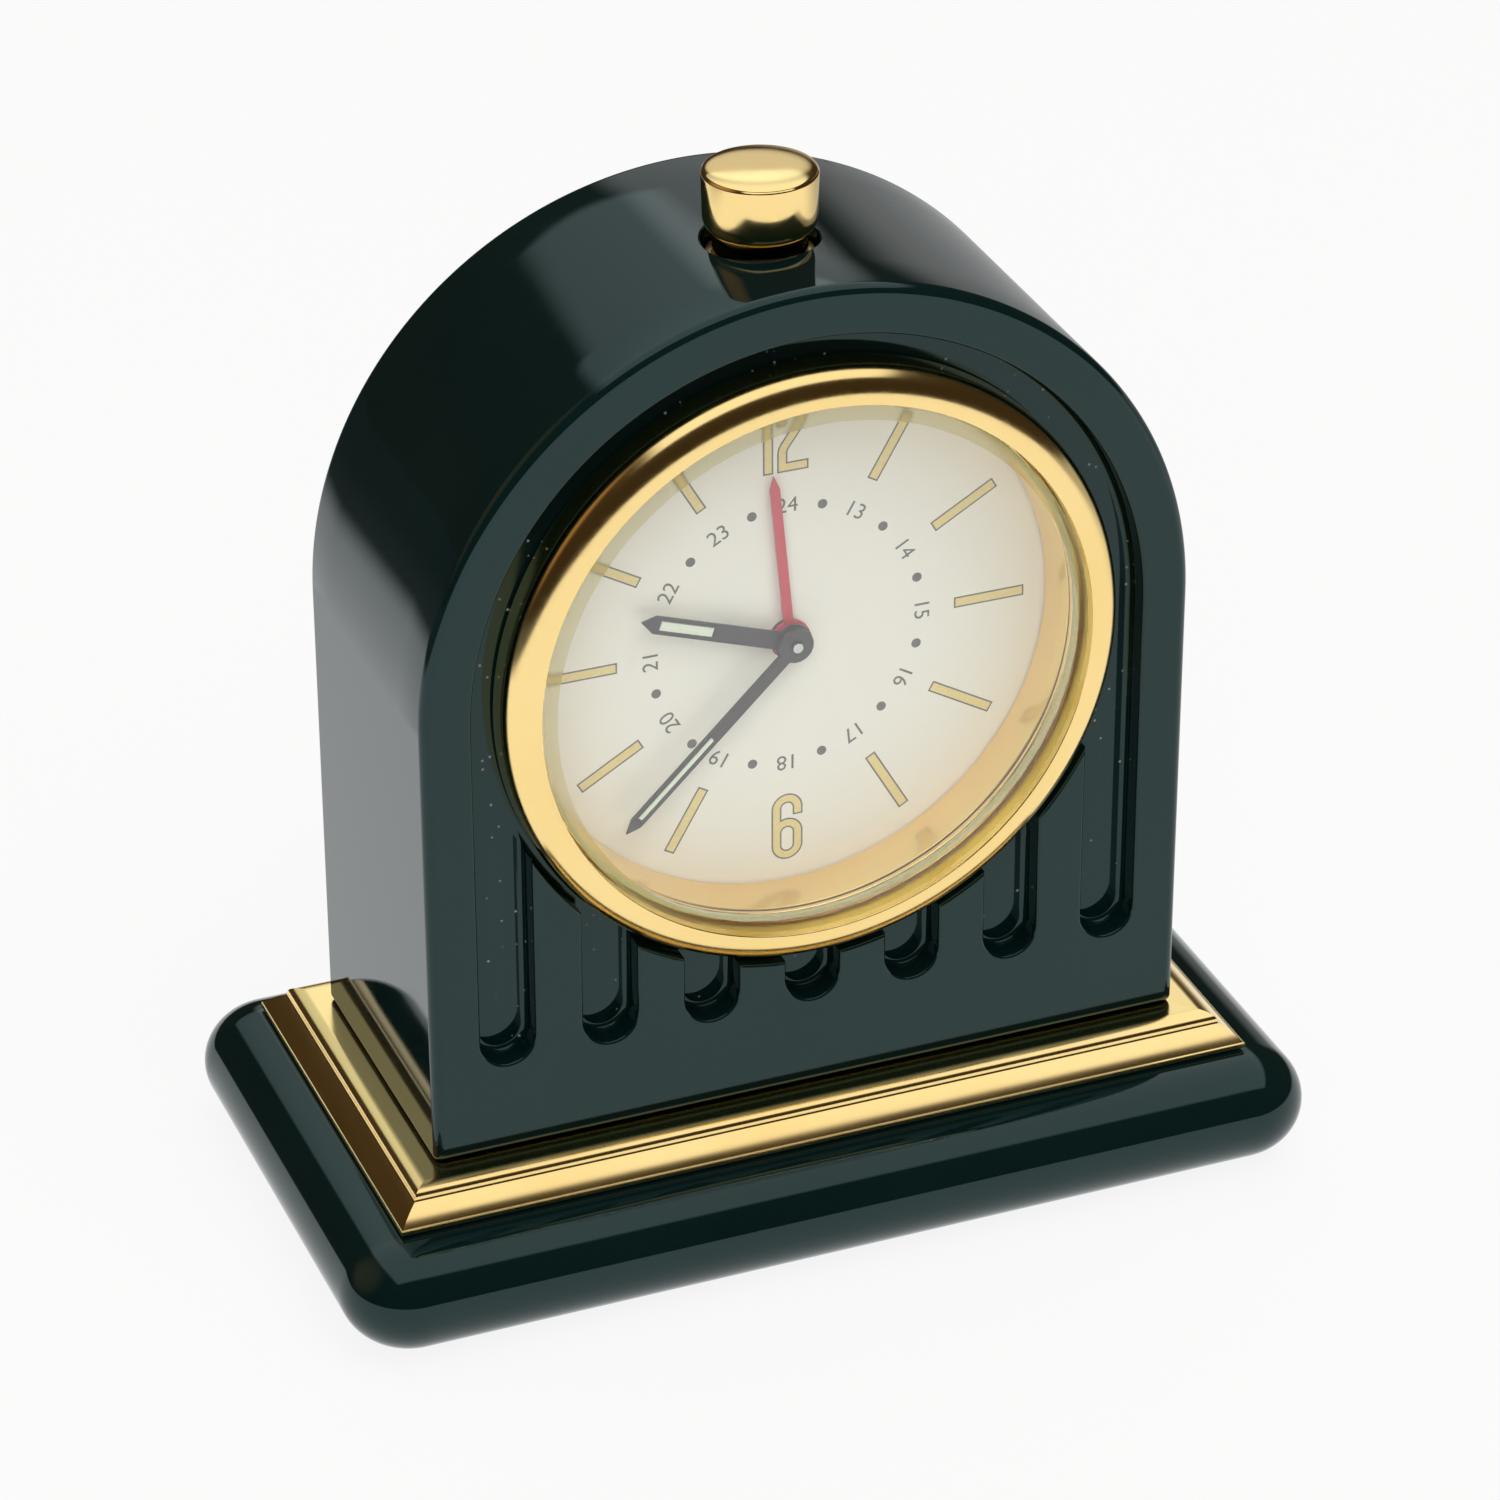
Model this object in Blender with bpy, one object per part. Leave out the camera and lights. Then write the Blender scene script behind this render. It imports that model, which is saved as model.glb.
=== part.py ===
"""Round-arched desk alarm clock: fluted lacquered case, moulded plinth, gilt bezel and quartz movement.

Lengths are in metres. +X is to the right as seen from the front, the dial faces -Y and +Z is up.
The origin is the middle of the underside, where the felt meets the table.
Most pieces hang on the empty dial_axis, whose X is right, Y is up and Z comes out of the dial, so a
depth behind the front face of the case is a negative Z there.
"""
import math

import bmesh
import bpy

TAU = math.tau

# Clearances
SEAT_GAP = 0.00025          # between pieces that rest on each other
RUN = 0.0001                # radial clearance of a shaft, pipe or pin in its hole
CUT_OVER = 0.002            # how far a cutter runs past the face that it cuts

# Plinth, moulding and felt
PLINTH_HEIGHT = 0.0106
PLINTH_REACH = 0.0058       # rounded edge, out past the moulding
PLINTH_CORNER = 0.0065      # plan radius of the outermost corner
MOULDING_REACH = 0.0051     # out past the case on every side
MOULDING_HEIGHT = 0.0031
MOULDING_RAIL = 0.009       # in under the case
MOULDING_SHELF = 0.0016     # flat top outside the case
MOULDING_NOSE = 0.0015      # reach of the shelf's rounded edge
MOULDING_NOSE_DROP = 0.0008
MOULDING_COVE = 0.00038     # radius of the cove under the nose
MOULDING_QUIRK = 0.0001     # the fillet's step out past the slope
MOULDING_FILLET = 0.0005    # square fillet at the foot
FELT_THICK = 0.0012
FELT_PROUD = 0.0003         # the felt stands this far below the plinth
FELT_MARGIN = 0.003         # in from the edge of the plinth's flat underside
BASE_SCREW_SPREAD = 0.022   # either side of the middle
BASE_SCREW_RADIUS = 0.0019
BASE_SCREW_HEAD = 0.0034
BASE_SCREW_HEAD_HEIGHT = 0.0022
BASE_SCREW_BITE = 0.0038    # into the case's floor

# Case
CASE_LAND = 0.00455         # plain front beside the recess
CASE_APRON = 0.01138        # front below the recess
CASE_DEPTH = 0.031
CASE_WALL = 0.0035
CASE_FLOOR = 0.005
CASE_FRONT = 0.0062
CASE_EDGE = 0.001           # round on the front and back edges
CASE_RIM = 0.0016           # left standing around the back cover
POST_RADIUS = 0.002         # posts for the back cover's screws
POST_INSET = 0.0009         # from the cavity wall to the middle of a post

# Flutes and the round recess that they run up into
RECESS_MARGIN = 0.00272     # out past the bezel
LAND_MARGIN = 0.0009        # from the bezel down to the lands between the flutes
FLUTE_COUNT = 7
FLUTE_WIDTH = 0.0052
FLUTE_DEPTH = 0.00265
FLUTE_FOOT = 0.00886        # foot of the case up to the lowest point of a flute
FLUTE_COVE = 0.0006         # hollow between a flute's wall and its floor

# Bezel, glass and dial; depths are behind the front face of the case
SKIRT_RADIUS = 0.02735      # of the bezel's skirt, in the hole through the case's front
SKIRT_WALL = 0.0009
SKIRT_DEPTH = 0.0073
BEZEL_FLANGE = 0.00175      # out past the skirt
BEZEL_CREST = 0.0019        # in front of the case
BEZEL_FLAT = 0.0001         # level crest between the rounded shoulder and the lip
BEZEL_SHOULDER = 0.00045    # depth where the straight outer wall ends
BEZEL_LIP_CHAMFER = 0.0002
BEZEL_SEAT = 0.00135        # skirt's outside in to the bore that holds the glass
BEZEL_LEDGE_WIDTH = 0.0007  # behind the glass
BEZEL_LEDGE_DEPTH = 0.0013
BEZEL_LEDGE_THICK = 0.0005
RING_WIDTH = 0.0016         # thin ring nut behind the front wall
GLASS_FRONT = 0.0015        # in front of the case
GLASS_THICK = 0.0018
GLASS_BEVEL = 0.0009        # width of the bevel around the front
GLASS_BEVEL_DEPTH = 0.00045
GASKET_THICK = 0.0005
DIAL_DEPTH = 0.00645
DIAL_THICK = 0.0006
RING_FLARE = 0.0004         # the dial ring closes in by this towards the dial
DIAL_HOLE = 0.0017

# Hands, as the photographed clock shows them: angles in degrees clockwise from twelve
HAND_THICK = 0.00025
LUME_GAP = 0.00008
ARBOR_RADIUS = 0.0005
PIPE_WALL = 0.00035
ARBOR_TIP_DEPTH = 0.0038
MINUTE_DEPTH = 0.0042
MINUTE_MARGIN = 0.0023      # from the tip out to the dial ring
MINUTE_WIDTH = 0.00125
MINUTE_HUB = 0.00165
MINUTE_LUME = 0.0097        # length of the luminous insert
MINUTE_ANGLE = 226.0
HOUR_DEPTH = 0.0049
HOUR_MARGIN = 0.0098
HOUR_WIDTH = 0.0017
HOUR_HUB = 0.00178
HOUR_LUME = 0.0053
HOUR_ANGLE = 288.8
ALARM_DEPTH = 0.0056
ALARM_MARGIN = 0.0084
ALARM_WIDTH = 0.0009
ALARM_HUB = 0.0019
ALARM_ANGLE = 354.5
LUME_MARGIN = 0.00035       # black border left on each side of a luminous insert
LUME_END = 0.0018           # from a luminous insert to the hand's tip
HAND_POINT = 0.0013         # length of a hand's pointed tip

# Movement layers, as depths behind the front face of the case
FRAME_FRONT = 0.008
FRAME_THICK = 0.0016
FRAME_RADIUS = 0.026
FRAME_TOP = 0.0205          # above the dial centre
REAR_PLATE_FRONT = 0.0208
REAR_PLATE_THICK = 0.0012
REAR_PLATE_RADIUS = 0.025
PILLARS = ((-0.017, 0.014), (0.0185, -0.0145), (-0.004, -0.0172))
PILLAR_RADIUS = 0.0018
DIAL_SEAT_RADIUS = 0.0204   # ring on the frame that backs the dial
DIAL_SEAT_WIDTH = 0.0018
FRAME_EAR_RISE = 0.0046     # ears of the frame, above and below the battery's axis
FRAME_EAR_LEAST = 0.0035    # room that an ear and its screw need beside the battery tray
PIVOT_RADIUS = 0.0004
SPINDLE_RADIUS = 0.0008
WHEEL_THICK = 0.0008
PINION_THICK = 0.0012
ALARM_LAYER = 0.0104        # middle of each wheel's thickness
HOUR_LAYER = 0.0117
MINUTE_LAYER = 0.0131
CENTRE_LAYER = 0.0152
THIRD_LAYER = 0.0168
INTERMEDIATE_LAYER = 0.0183

# Gear teeth, and the directions of the arbors, in degrees anticlockwise from three o'clock
MODULE = 0.0004
ADDENDUM = 0.85             # in modules
DEDENDUM = 1.15
TOOTH_TIP = 0.09            # half width, as a share of the tooth pitch
TOOTH_ROOT = 0.25
CANNON_TEETH = 10
MINUTE_TEETH = 30
MINUTE_PINION_TEETH = 8
HOUR_TEETH = 32
ALARM_TEETH = 30
ALARM_PINION_TEETH = 15
CENTRE_TEETH = 32
THIRD_PINION_TEETH = 8
THIRD_TEETH = 32
INTERMEDIATE_PINION_TEETH = 8
INTERMEDIATE_TEETH = 30
ROTOR_TEETH = 8
MINUTE_WHEEL_BEARING = 180.0
ALARM_SPINDLE_BEARING = 0.0
THIRD_BEARING = 100.0
INTERMEDIATE_BEARING = 10.0
ROTOR_BEARING = 15.0

# Motor, circuit and sounder
MAGNET_RADIUS = 0.0028
MAGNET_HEIGHT = 0.0026
STATOR_DEPTH = 0.0141
STATOR_THICK = 0.001
STATOR_BORE = 0.0034
STATOR_ARM = 0.0024
STATOR_RIM = 0.0006         # metal left around the bore
COIL_OFFSET = 0.0107        # from the rotor, to the right
COIL_BELOW = 0.0205         # from the rotor down to the lower arm's far edge
CORE_WIDTH = 0.0022
CORE_THICK = 0.001
BOBBIN_RADIUS = 0.0034
BOBBIN_BARREL = 0.0022
BOBBIN_CHEEK = 0.0008
BOARD_THICK = 0.001
BOARD_LEFT = -0.0228        # edges of the board from the dial centre
BOARD_RIGHT = -0.0122
BOARD_LOW = -0.009
BOARD_HIGH = 0.0112
CHIP_HALF = 0.0022
CHIP_THICK = 0.0011
CHIP_PLACE = (-0.0184, -0.0024)
CAN_RADIUS = 0.0013
CAN_HALF = 0.0036
CAN_CHAMFER = 0.0006
CAN_ACROSS = -0.0148
SOUNDER_CENTRE = (-0.0193, -0.0108)
SOUNDER_CAP_RADIUS = 0.0028
SOUNDER_CAP = 0.001
SOUND_HOLE_RADIUS = 0.0008
SOUND_HOLE_RING = 0.0042
SOUND_HOLES = 6
SOUNDER_RADIUS = 0.0085
SOUNDER_HEIGHT = 0.004

# Battery and its tray
BATTERY_RADIUS = 0.00715
BATTERY_LENGTH = 0.0493
BATTERY_TIP_RADIUS = 0.0026
BATTERY_TIP = 0.0012
BATTERY_BELOW = 0.0287      # dial centre down to the battery's axis
TRAY_WALL = 0.0009
TRAY_LIFT = 0.001           # least room between the tray and the case's floor
TRAY_DEPTH = 0.0124
CONTACT_SPACE = 0.0031      # for the sprung contact
CONTACT_THICK = 0.0004
CONTACT_HALF = 0.005
CONTACT_CONE = 0.0036       # foot radius of the sprung contact's cone
BATTERY_SHOULDER = 0.0006

# Back cover, its door and knobs
COVER_THICK = 0.0021
DOOR_THICK = 0.0017
DOOR_MARGIN = 0.0008        # of the opening, past the battery on each long side
DOOR_PIN_RADIUS = 0.0005
DOOR_PIN_LENGTH = 0.0009
KNOB_RADIUS = 0.0055
KNOB_HEIGHT = 0.0042
KNOB_LOBES = 14
KNOB_GROOVE = 0.0004

# Screws
SMALL_SCREW_RADIUS = 0.0008
SMALL_SCREW_HEAD = 0.0015
SMALL_SCREW_HEAD_HEIGHT = 0.001
SMALL_SCREW_BITE = 0.0035
FRAME_SCREW_BITE = 0.0018   # into the front wall behind a flute
SCREW_RECESS_REACH = 0.62   # of the head's radius
SCREW_RECESS_HALF = 0.17
COVER_SCREW_BELOW = 0.013   # lower pair, below the dial centre
COVER_SCREW_BEARING = 45.0  # upper pair, degrees up the arch

# Alarm button
BUTTON_DEPTH = 0.0126       # behind the front face of the case
BUTTON_RADIUS = 0.00515
BUTTON_RIM_RISE = 0.00608   # rim above the top of the arch
BUTTON_HEAD_HEIGHT = 0.004
BUTTON_DOME = 0.0005
BUTTON_FOOT_RADIUS = 0.0044
BUTTON_ROUND = 0.001        # height of the round under the head
BUTTON_TRAVEL = 0.002
SHANK_RADIUS = 0.0042
STEM_RADIUS = 0.0014
BUSH_WALL = 0.0006
BUSH_FLANGE = 0.006
BUSH_FLANGE_THICK = 0.0015
BUSH_FLOOR = 0.0013
BUSH_DROP = 0.0079          # flange's top down to the floor's underside
SPRING_TURNS = 4
SPRING_WIRE = 0.00025       # radius
CLIP_THICK = 0.0006
CLIP_WIDTH = 0.0011
STEM_END = 0.0012           # of the stem, below the clip
BUTTON_CHAMFER = 0.00015
SWITCH_LEFT = -0.009
SWITCH_RIGHT = 0.003
SWITCH_LEG = 0.006

# Facets
ROUND_STEPS = 48            # large turned pieces
BUTTON_STEPS = 28
SMALL_STEPS = 16
TINY_STEPS = 8
ARCH_STEPS = 28
EDGE_STEPS = 3
COVE_STEPS = 2
FLUTE_STEPS = 8
LAND_STEPS = 2
PLINTH_STEPS = 10
CORNER_STEPS = 5
SPRING_STEPS = 8            # per turn

# Front, from the bezel's skirt inwards to the hands and outwards to the flutes
BEZEL_RADIUS = SKIRT_RADIUS + BEZEL_FLANGE
BEZEL_BORE = SKIRT_RADIUS - BEZEL_SEAT
BEZEL_LEDGE = BEZEL_BORE - BEZEL_LEDGE_WIDTH
DIAL_SIGHT = BEZEL_LEDGE - RING_FLARE
MINUTE_LENGTH = DIAL_SIGHT - MINUTE_MARGIN
HOUR_LENGTH = DIAL_SIGHT - HOUR_MARGIN
ALARM_LENGTH = DIAL_SIGHT - ALARM_MARGIN
RECESS_RADIUS = BEZEL_RADIUS + RECESS_MARGIN
LAND_RADIUS = BEZEL_RADIUS + LAND_MARGIN
FLUTE_PITCH = (2 * RECESS_RADIUS - FLUTE_WIDTH) / (FLUTE_COUNT - 1)

# The case is as wide and as high as its front or its battery needs
BATTERY_TRAY_HALF = (BATTERY_LENGTH + BATTERY_TIP + CONTACT_SPACE + CONTACT_THICK) / 2 + SEAT_GAP
TRAY_DROP = BATTERY_BELOW + BATTERY_RADIUS + SEAT_GAP + TRAY_WALL
CASE_WIDTH = 2 * max(
    RECESS_RADIUS + CASE_LAND,
    BATTERY_TRAY_HALF + TRAY_WALL + FRAME_EAR_LEAST + CASE_WALL,
)
CASE_SHOULDER = max(RECESS_RADIUS + CASE_APRON, TRAY_DROP + TRAY_LIFT + CASE_FLOOR)

# Heights above the table
PLINTH_FOOT_Z = FELT_PROUD
PLINTH_TOP_Z = PLINTH_FOOT_Z + PLINTH_HEIGHT
MOULDING_FOOT_Z = PLINTH_TOP_Z + SEAT_GAP
MOULDING_TOP_Z = MOULDING_FOOT_Z + MOULDING_HEIGHT
CASE_FOOT_Z = MOULDING_TOP_Z + SEAT_GAP
DIAL_Z = CASE_FOOT_Z + CASE_SHOULDER
ARCH_RADIUS = CASE_WIDTH / 2
CASE_TOP_Z = DIAL_Z + ARCH_RADIUS
CAVITY_RADIUS = ARCH_RADIUS - CASE_WALL
CAVITY_DROP = CASE_SHOULDER - CASE_FLOOR
FRAME_BACK = FRAME_FRONT + FRAME_THICK
REAR_PLATE_BACK = REAR_PLATE_FRONT + REAR_PLATE_THICK
COVER_FRONT = CASE_DEPTH - COVER_THICK
COVER_SEAT = COVER_FRONT - SEAT_GAP


def clear_scene():
    for item in list(bpy.data.objects):
        bpy.data.objects.remove(item, do_unlink=True)


def paint(name, colour, roughness, metallic=0.0, alpha=1.0):
    made = bpy.data.materials.new(name)
    made.use_nodes = True
    shader = made.node_tree.nodes["Principled BSDF"]
    shader.inputs["Base Color"].default_value = (*colour, 1.0)
    shader.inputs["Roughness"].default_value = roughness
    shader.inputs["Metallic"].default_value = metallic
    shader.inputs["Alpha"].default_value = alpha
    made.diffuse_color = (*colour, alpha)
    return made


clear_scene()
LACQUER = paint("green_lacquer", (0.012, 0.028, 0.027), 0.08)
GILT = paint("gilt_brass", (0.83, 0.60, 0.22), 0.12, 1.0)
FELT = paint("green_felt", (0.02, 0.06, 0.04), 0.95)
GLASS = paint("mineral_glass", (0.90, 0.95, 0.92), 0.03, 0.0, 0.2)
GASKET = paint("clear_gasket", (0.70, 0.74, 0.66), 0.4)
IVORY = paint("ivory_dial", (0.80, 0.77, 0.67), 0.5)
BLACK = paint("black_hands", (0.02, 0.02, 0.02), 0.35)
LUME = paint("pale_lume", (0.78, 0.82, 0.68), 0.7)
RED = paint("red_alarm_hand", (0.62, 0.06, 0.07), 0.4)
BRASS = paint("plain_brass", (0.72, 0.53, 0.24), 0.3, 1.0)
STEEL = paint("bright_steel", (0.62, 0.62, 0.62), 0.3, 1.0)
MAGNET = paint("dark_magnet", (0.08, 0.08, 0.085), 0.4, 0.6)
CREAM_PLASTIC = paint("cream_plastic", (0.74, 0.72, 0.66), 0.45)
BLACK_PLASTIC = paint("black_plastic", (0.03, 0.03, 0.032), 0.4)
COPPER = paint("copper_wire", (0.60, 0.25, 0.12), 0.35, 1.0)
BOARD = paint("board_green", (0.03, 0.17, 0.08), 0.5)
BATTERY = paint("battery_sleeve", (0.10, 0.11, 0.13), 0.35, 0.3)


def circle(radius, steps, centre=(0.0, 0.0)):
    turn = TAU / steps
    return [
        (centre[0] + radius * math.cos(turn * k), centre[1] + radius * math.sin(turn * k))
        for k in range(steps)
    ]


def arc(centre, across, along, start, end, steps):
    """Points of an ellipse's arc between two angles in degrees, both ends included."""
    points = []
    for k in range(steps + 1):
        angle = math.radians(start + (end - start) * k / steps)
        points.append((centre[0] + across * math.cos(angle), centre[1] + along * math.sin(angle)))
    return points


def rectangle(left, right, low, high):
    return [(left, low), (right, low), (right, high), (left, high)]


def rounded_rectangle(half_x, half_y, radius):
    points = []
    for quarter, (side_x, side_y) in enumerate(((1, 1), (-1, 1), (-1, -1), (1, -1))):
        centre = (side_x * (half_x - radius), side_y * (half_y - radius))
        points += arc(centre, radius, radius, 90 * quarter, 90 * quarter + 90, CORNER_STEPS)
    return points


def arch(radius, drop):
    """Straight sides under a half circle, from the right foot round to the left one."""
    return [(radius, -drop)] + arc((0.0, 0.0), radius, radius, 0, 180, ARCH_STEPS) + [(-radius, -drop)]


def polar(length, degrees, start=(0.0, 0.0)):
    angle = math.radians(degrees)
    return (start[0] + length * math.cos(angle), start[1] + length * math.sin(angle))


def wall(bm, low, high):
    """Side faces between two rings of points; a ring of one point is a pole."""
    count = max(len(low), len(high))
    for k in range(count):
        j = (k + 1) % count
        if len(low) == 1:
            bm.faces.new((low[0], high[j], high[k]))
        elif len(high) == 1:
            bm.faces.new((low[k], low[j], high[0]))
        else:
            bm.faces.new((low[k], low[j], high[j], high[k]))


def fill(bm, loops):
    """Flat face over the first loop, with the others left open in it."""
    if len(loops) == 1:
        bm.faces.new(loops[0])
        return
    edges = []
    for loop in loops:
        for a, b in zip(loop, loop[1:] + loop[:1]):
            edges.append(bm.edges.get((a, b)) or bm.edges.new((a, b)))
    bmesh.ops.triangle_fill(bm, use_beauty=True, use_dissolve=False, edges=edges)


def stacked(levels, holes=(), pocket=None):
    """Prisms standing on each other, each (outline, from, to); holes run right through the stack.

    A pocket is an outline and a depth, sunk into the end of the last prism.
    """
    bm = bmesh.new()

    def ring(loop, height):
        return [bm.verts.new((x, y, height)) for x, y in loop]

    start = levels[0][1]
    end = levels[-1][2]
    first_loops = []
    previous = None
    for outline, low, high in levels:
        near = ring(outline, low)
        far = ring(outline, high)
        wall(bm, near, far)
        if previous is None:
            first_loops.append(near)
        else:
            fill(bm, [previous, near])
        previous = far
    last_loops = [previous]
    for hole in holes:
        near = ring(hole, start)
        far = ring(hole, end)
        wall(bm, near, far)
        first_loops.append(near)
        last_loops.append(far)
    if pocket:
        outline, depth = pocket
        inward = depth if start > end else -depth
        mouth = ring(outline, end)
        floor = ring(outline, end + inward)
        wall(bm, mouth, floor)
        fill(bm, [floor])
        last_loops.append(mouth)
    fill(bm, first_loops)
    fill(bm, last_loops)
    return bm


def sunk(levels, holes=(), pocket=None):
    """The same stack with its levels given as depths behind the front face of the case."""
    return stacked([(outline, -near, -far) for outline, near, far in levels], holes, pocket)


def turned(profile, steps):
    """Body of revolution about Z from (radius, height) points; a profile off the axis closes on itself."""
    bm = bmesh.new()
    rings = []
    for radius, height in profile:
        if radius == 0.0:
            rings.append([bm.verts.new((0.0, 0.0, height))])
        else:
            rings.append([bm.verts.new((x, y, height)) for x, y in circle(radius, steps)])
    pairs = list(zip(rings, rings[1:]))
    if len(rings[0]) > 1:
        pairs.append((rings[-1], rings[0]))
    for low, high in pairs:
        wall(bm, low, high)
    return bm


def lofted(sections, closed=False):
    """Skin through (outline, height) sections with the same number of points, capped or closed in a ring."""
    bm = bmesh.new()
    rings = [[bm.verts.new((x, y, height)) for x, y in outline] for outline, height in sections]
    pairs = list(zip(rings, rings[1:]))
    if closed:
        pairs.append((rings[-1], rings[0]))
    for low, high in pairs:
        wall(bm, low, high)
    if not closed:
        fill(bm, [rings[0]])
        fill(bm, [rings[-1]])
    return bm


def place(name, bm, material, parent=None, location=(0.0, 0.0, 0.0), rotation=(0.0, 0.0, 0.0)):
    bmesh.ops.recalc_face_normals(bm, faces=bm.faces[:])
    mesh = bpy.data.meshes.new(name)
    bm.to_mesh(mesh)
    bm.free()
    mesh.materials.append(material)
    mesh.shade_smooth()
    mesh.set_sharp_from_angle(angle=math.radians(35))
    thing = bpy.data.objects.new(name, mesh)
    bpy.context.collection.objects.link(thing)
    thing.parent = parent
    thing.location = location
    thing.rotation_euler = rotation
    return thing


def shape_with(target, operation, name, bm, location=(0.0, 0.0, 0.0), rotation=(0.0, 0.0, 0.0)):
    """Cut a tool shape from the target or join it on, in the target's parent's frame."""
    tool = place(f"{target.name}_{name}", bm, target.data.materials[0], target.parent, location, rotation)
    tool.hide_render = True
    tool.display_type = 'WIRE'
    step = target.modifiers.new(name, 'BOOLEAN')
    step.operation = operation
    step.solver = 'EXACT'
    step.object = tool


def cut(target, name, bm, **where):
    shape_with(target, 'DIFFERENCE', name, bm, **where)


def join(target, name, bm, **where):
    shape_with(target, 'UNION', name, bm, **where)


def empty(name, location, rotation=(0.0, 0.0, 0.0)):
    frame = bpy.data.objects.new(name, None)
    bpy.context.collection.objects.link(frame)
    frame.location = location
    frame.rotation_euler = rotation
    return frame


DIAL_AXIS = empty("dial_axis", (0.0, -CASE_DEPTH / 2, DIAL_Z), (math.pi / 2, 0.0, 0.0))


def dial_piece(name, bm, material, centre=(0.0, 0.0), degrees_clockwise=0.0):
    turn = (0.0, 0.0, -math.radians(degrees_clockwise))
    return place(name, bm, material, DIAL_AXIS, (*centre, 0.0), turn)


def cross_recess(head_radius):
    """Outline of a cross-head driver's recess."""
    long_half = SCREW_RECESS_REACH * head_radius
    short_half = SCREW_RECESS_HALF * head_radius
    points = []
    for quarter in range(4):
        c = math.cos(quarter * TAU / 4)
        s = math.sin(quarter * TAU / 4)
        for x, y in ((long_half, -short_half), (long_half, short_half), (short_half, short_half)):
            points.append((x * c - y * s, x * s + y * c))
    return points


def screw(name, centre, tip_depth, head_depth):
    """Small screw driven from behind: its shank runs from the tip's depth to the head's near face."""
    levels = (
        (circle(SMALL_SCREW_RADIUS, TINY_STEPS), tip_depth, head_depth),
        (circle(SMALL_SCREW_HEAD, TINY_STEPS), head_depth, head_depth + SMALL_SCREW_HEAD_HEIGHT),
    )
    recess = (cross_recess(SMALL_SCREW_HEAD), SMALL_SCREW_HEAD_HEIGHT / 2)
    dial_piece(name, sunk(levels, (), recess), STEEL, centre)


SMALL_SCREW_HOLE = SMALL_SCREW_RADIUS + RUN


def build_plinth():
    half_x = ARCH_RADIUS + MOULDING_REACH + PLINTH_REACH
    half_y = CASE_DEPTH / 2 + MOULDING_REACH + PLINTH_REACH
    middle = PLINTH_FOOT_Z + PLINTH_HEIGHT / 2
    sections = []
    for across, height in arc((0.0, middle), PLINTH_REACH, PLINTH_HEIGHT / 2, -90, 90, PLINTH_STEPS):
        inset = PLINTH_REACH - across
        outline = rounded_rectangle(half_x - inset, half_y - inset, PLINTH_CORNER - inset)
        sections.append((outline, height))
    plinth = place("base_plinth", lofted(sections), LACQUER)

    felt_x = half_x - PLINTH_REACH - FELT_MARGIN
    felt_y = half_y - PLINTH_REACH - FELT_MARGIN
    felt_round = PLINTH_CORNER - PLINTH_REACH + FELT_MARGIN
    pocket_z = FELT_THICK + SEAT_GAP
    pocket = rounded_rectangle(felt_x + SEAT_GAP, felt_y + SEAT_GAP, felt_round + SEAT_GAP)
    cut(plinth, "felt_pocket", stacked([(pocket, PLINTH_FOOT_Z - CUT_OVER, pocket_z)]))
    felt = stacked([(rounded_rectangle(felt_x, felt_y, felt_round), 0.0, FELT_THICK)])
    place("felt_pad", felt, FELT)

    head_low = pocket_z + SEAT_GAP
    head_high = head_low + BASE_SCREW_HEAD_HEIGHT
    shank_top = CASE_FOOT_Z + BASE_SCREW_BITE
    hole = BASE_SCREW_RADIUS + SEAT_GAP
    for side, label in ((-1, "left"), (1, "right")):
        where = (side * BASE_SCREW_SPREAD, 0.0, 0.0)
        bore = stacked([
            (circle(BASE_SCREW_HEAD + SEAT_GAP, SMALL_STEPS), FELT_PROUD, head_high + SEAT_GAP),
            (circle(hole, SMALL_STEPS), head_high + SEAT_GAP, PLINTH_TOP_Z + CUT_OVER),
        ])
        cut(plinth, f"screw_bore_{label}", bore, location=where)
        body = stacked(
            [
                (circle(BASE_SCREW_RADIUS, SMALL_STEPS), shank_top, head_high),
                (circle(BASE_SCREW_HEAD, SMALL_STEPS), head_high, head_low),
            ],
            (),
            (cross_recess(BASE_SCREW_HEAD), BASE_SCREW_HEAD_HEIGHT / 2),
        )
        place(f"base_screw_{label}", body, STEEL, location=where)


def moulding_profile():
    """Outward reach and height of the moulding's face, from the shelf down to its foot."""
    nose_low = MOULDING_HEIGHT - MOULDING_NOSE_DROP
    cove = (MOULDING_SHELF + MOULDING_NOSE + MOULDING_COVE, nose_low)
    slope_end = (MOULDING_REACH - MOULDING_QUIRK, MOULDING_FILLET)
    run = slope_end[0] - cove[0]
    fall = cove[1] - slope_end[1]
    slope = math.atan2(fall, run) - math.asin(MOULDING_COVE / math.hypot(run, fall))
    points = [(-MOULDING_RAIL, MOULDING_HEIGHT)]
    points += arc((MOULDING_SHELF, nose_low), MOULDING_NOSE, MOULDING_NOSE_DROP, 90, 0, CORNER_STEPS)
    points += arc(cove, MOULDING_COVE, MOULDING_COVE, 180, 270 - math.degrees(slope), EDGE_STEPS)[1:]
    points += [slope_end]
    points += [(MOULDING_REACH, MOULDING_FILLET), (MOULDING_REACH, 0.0), (-MOULDING_RAIL, 0.0)]
    return points


def build_moulding():
    sections = []
    for reach, height in moulding_profile():
        half_x = ARCH_RADIUS + reach
        half_y = CASE_DEPTH / 2 + reach
        sections.append((rectangle(-half_x, half_x, -half_y, half_y), height))
    place("plinth_moulding", lofted(sections, closed=True), GILT, location=(0.0, 0.0, MOULDING_FOOT_Z))


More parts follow.
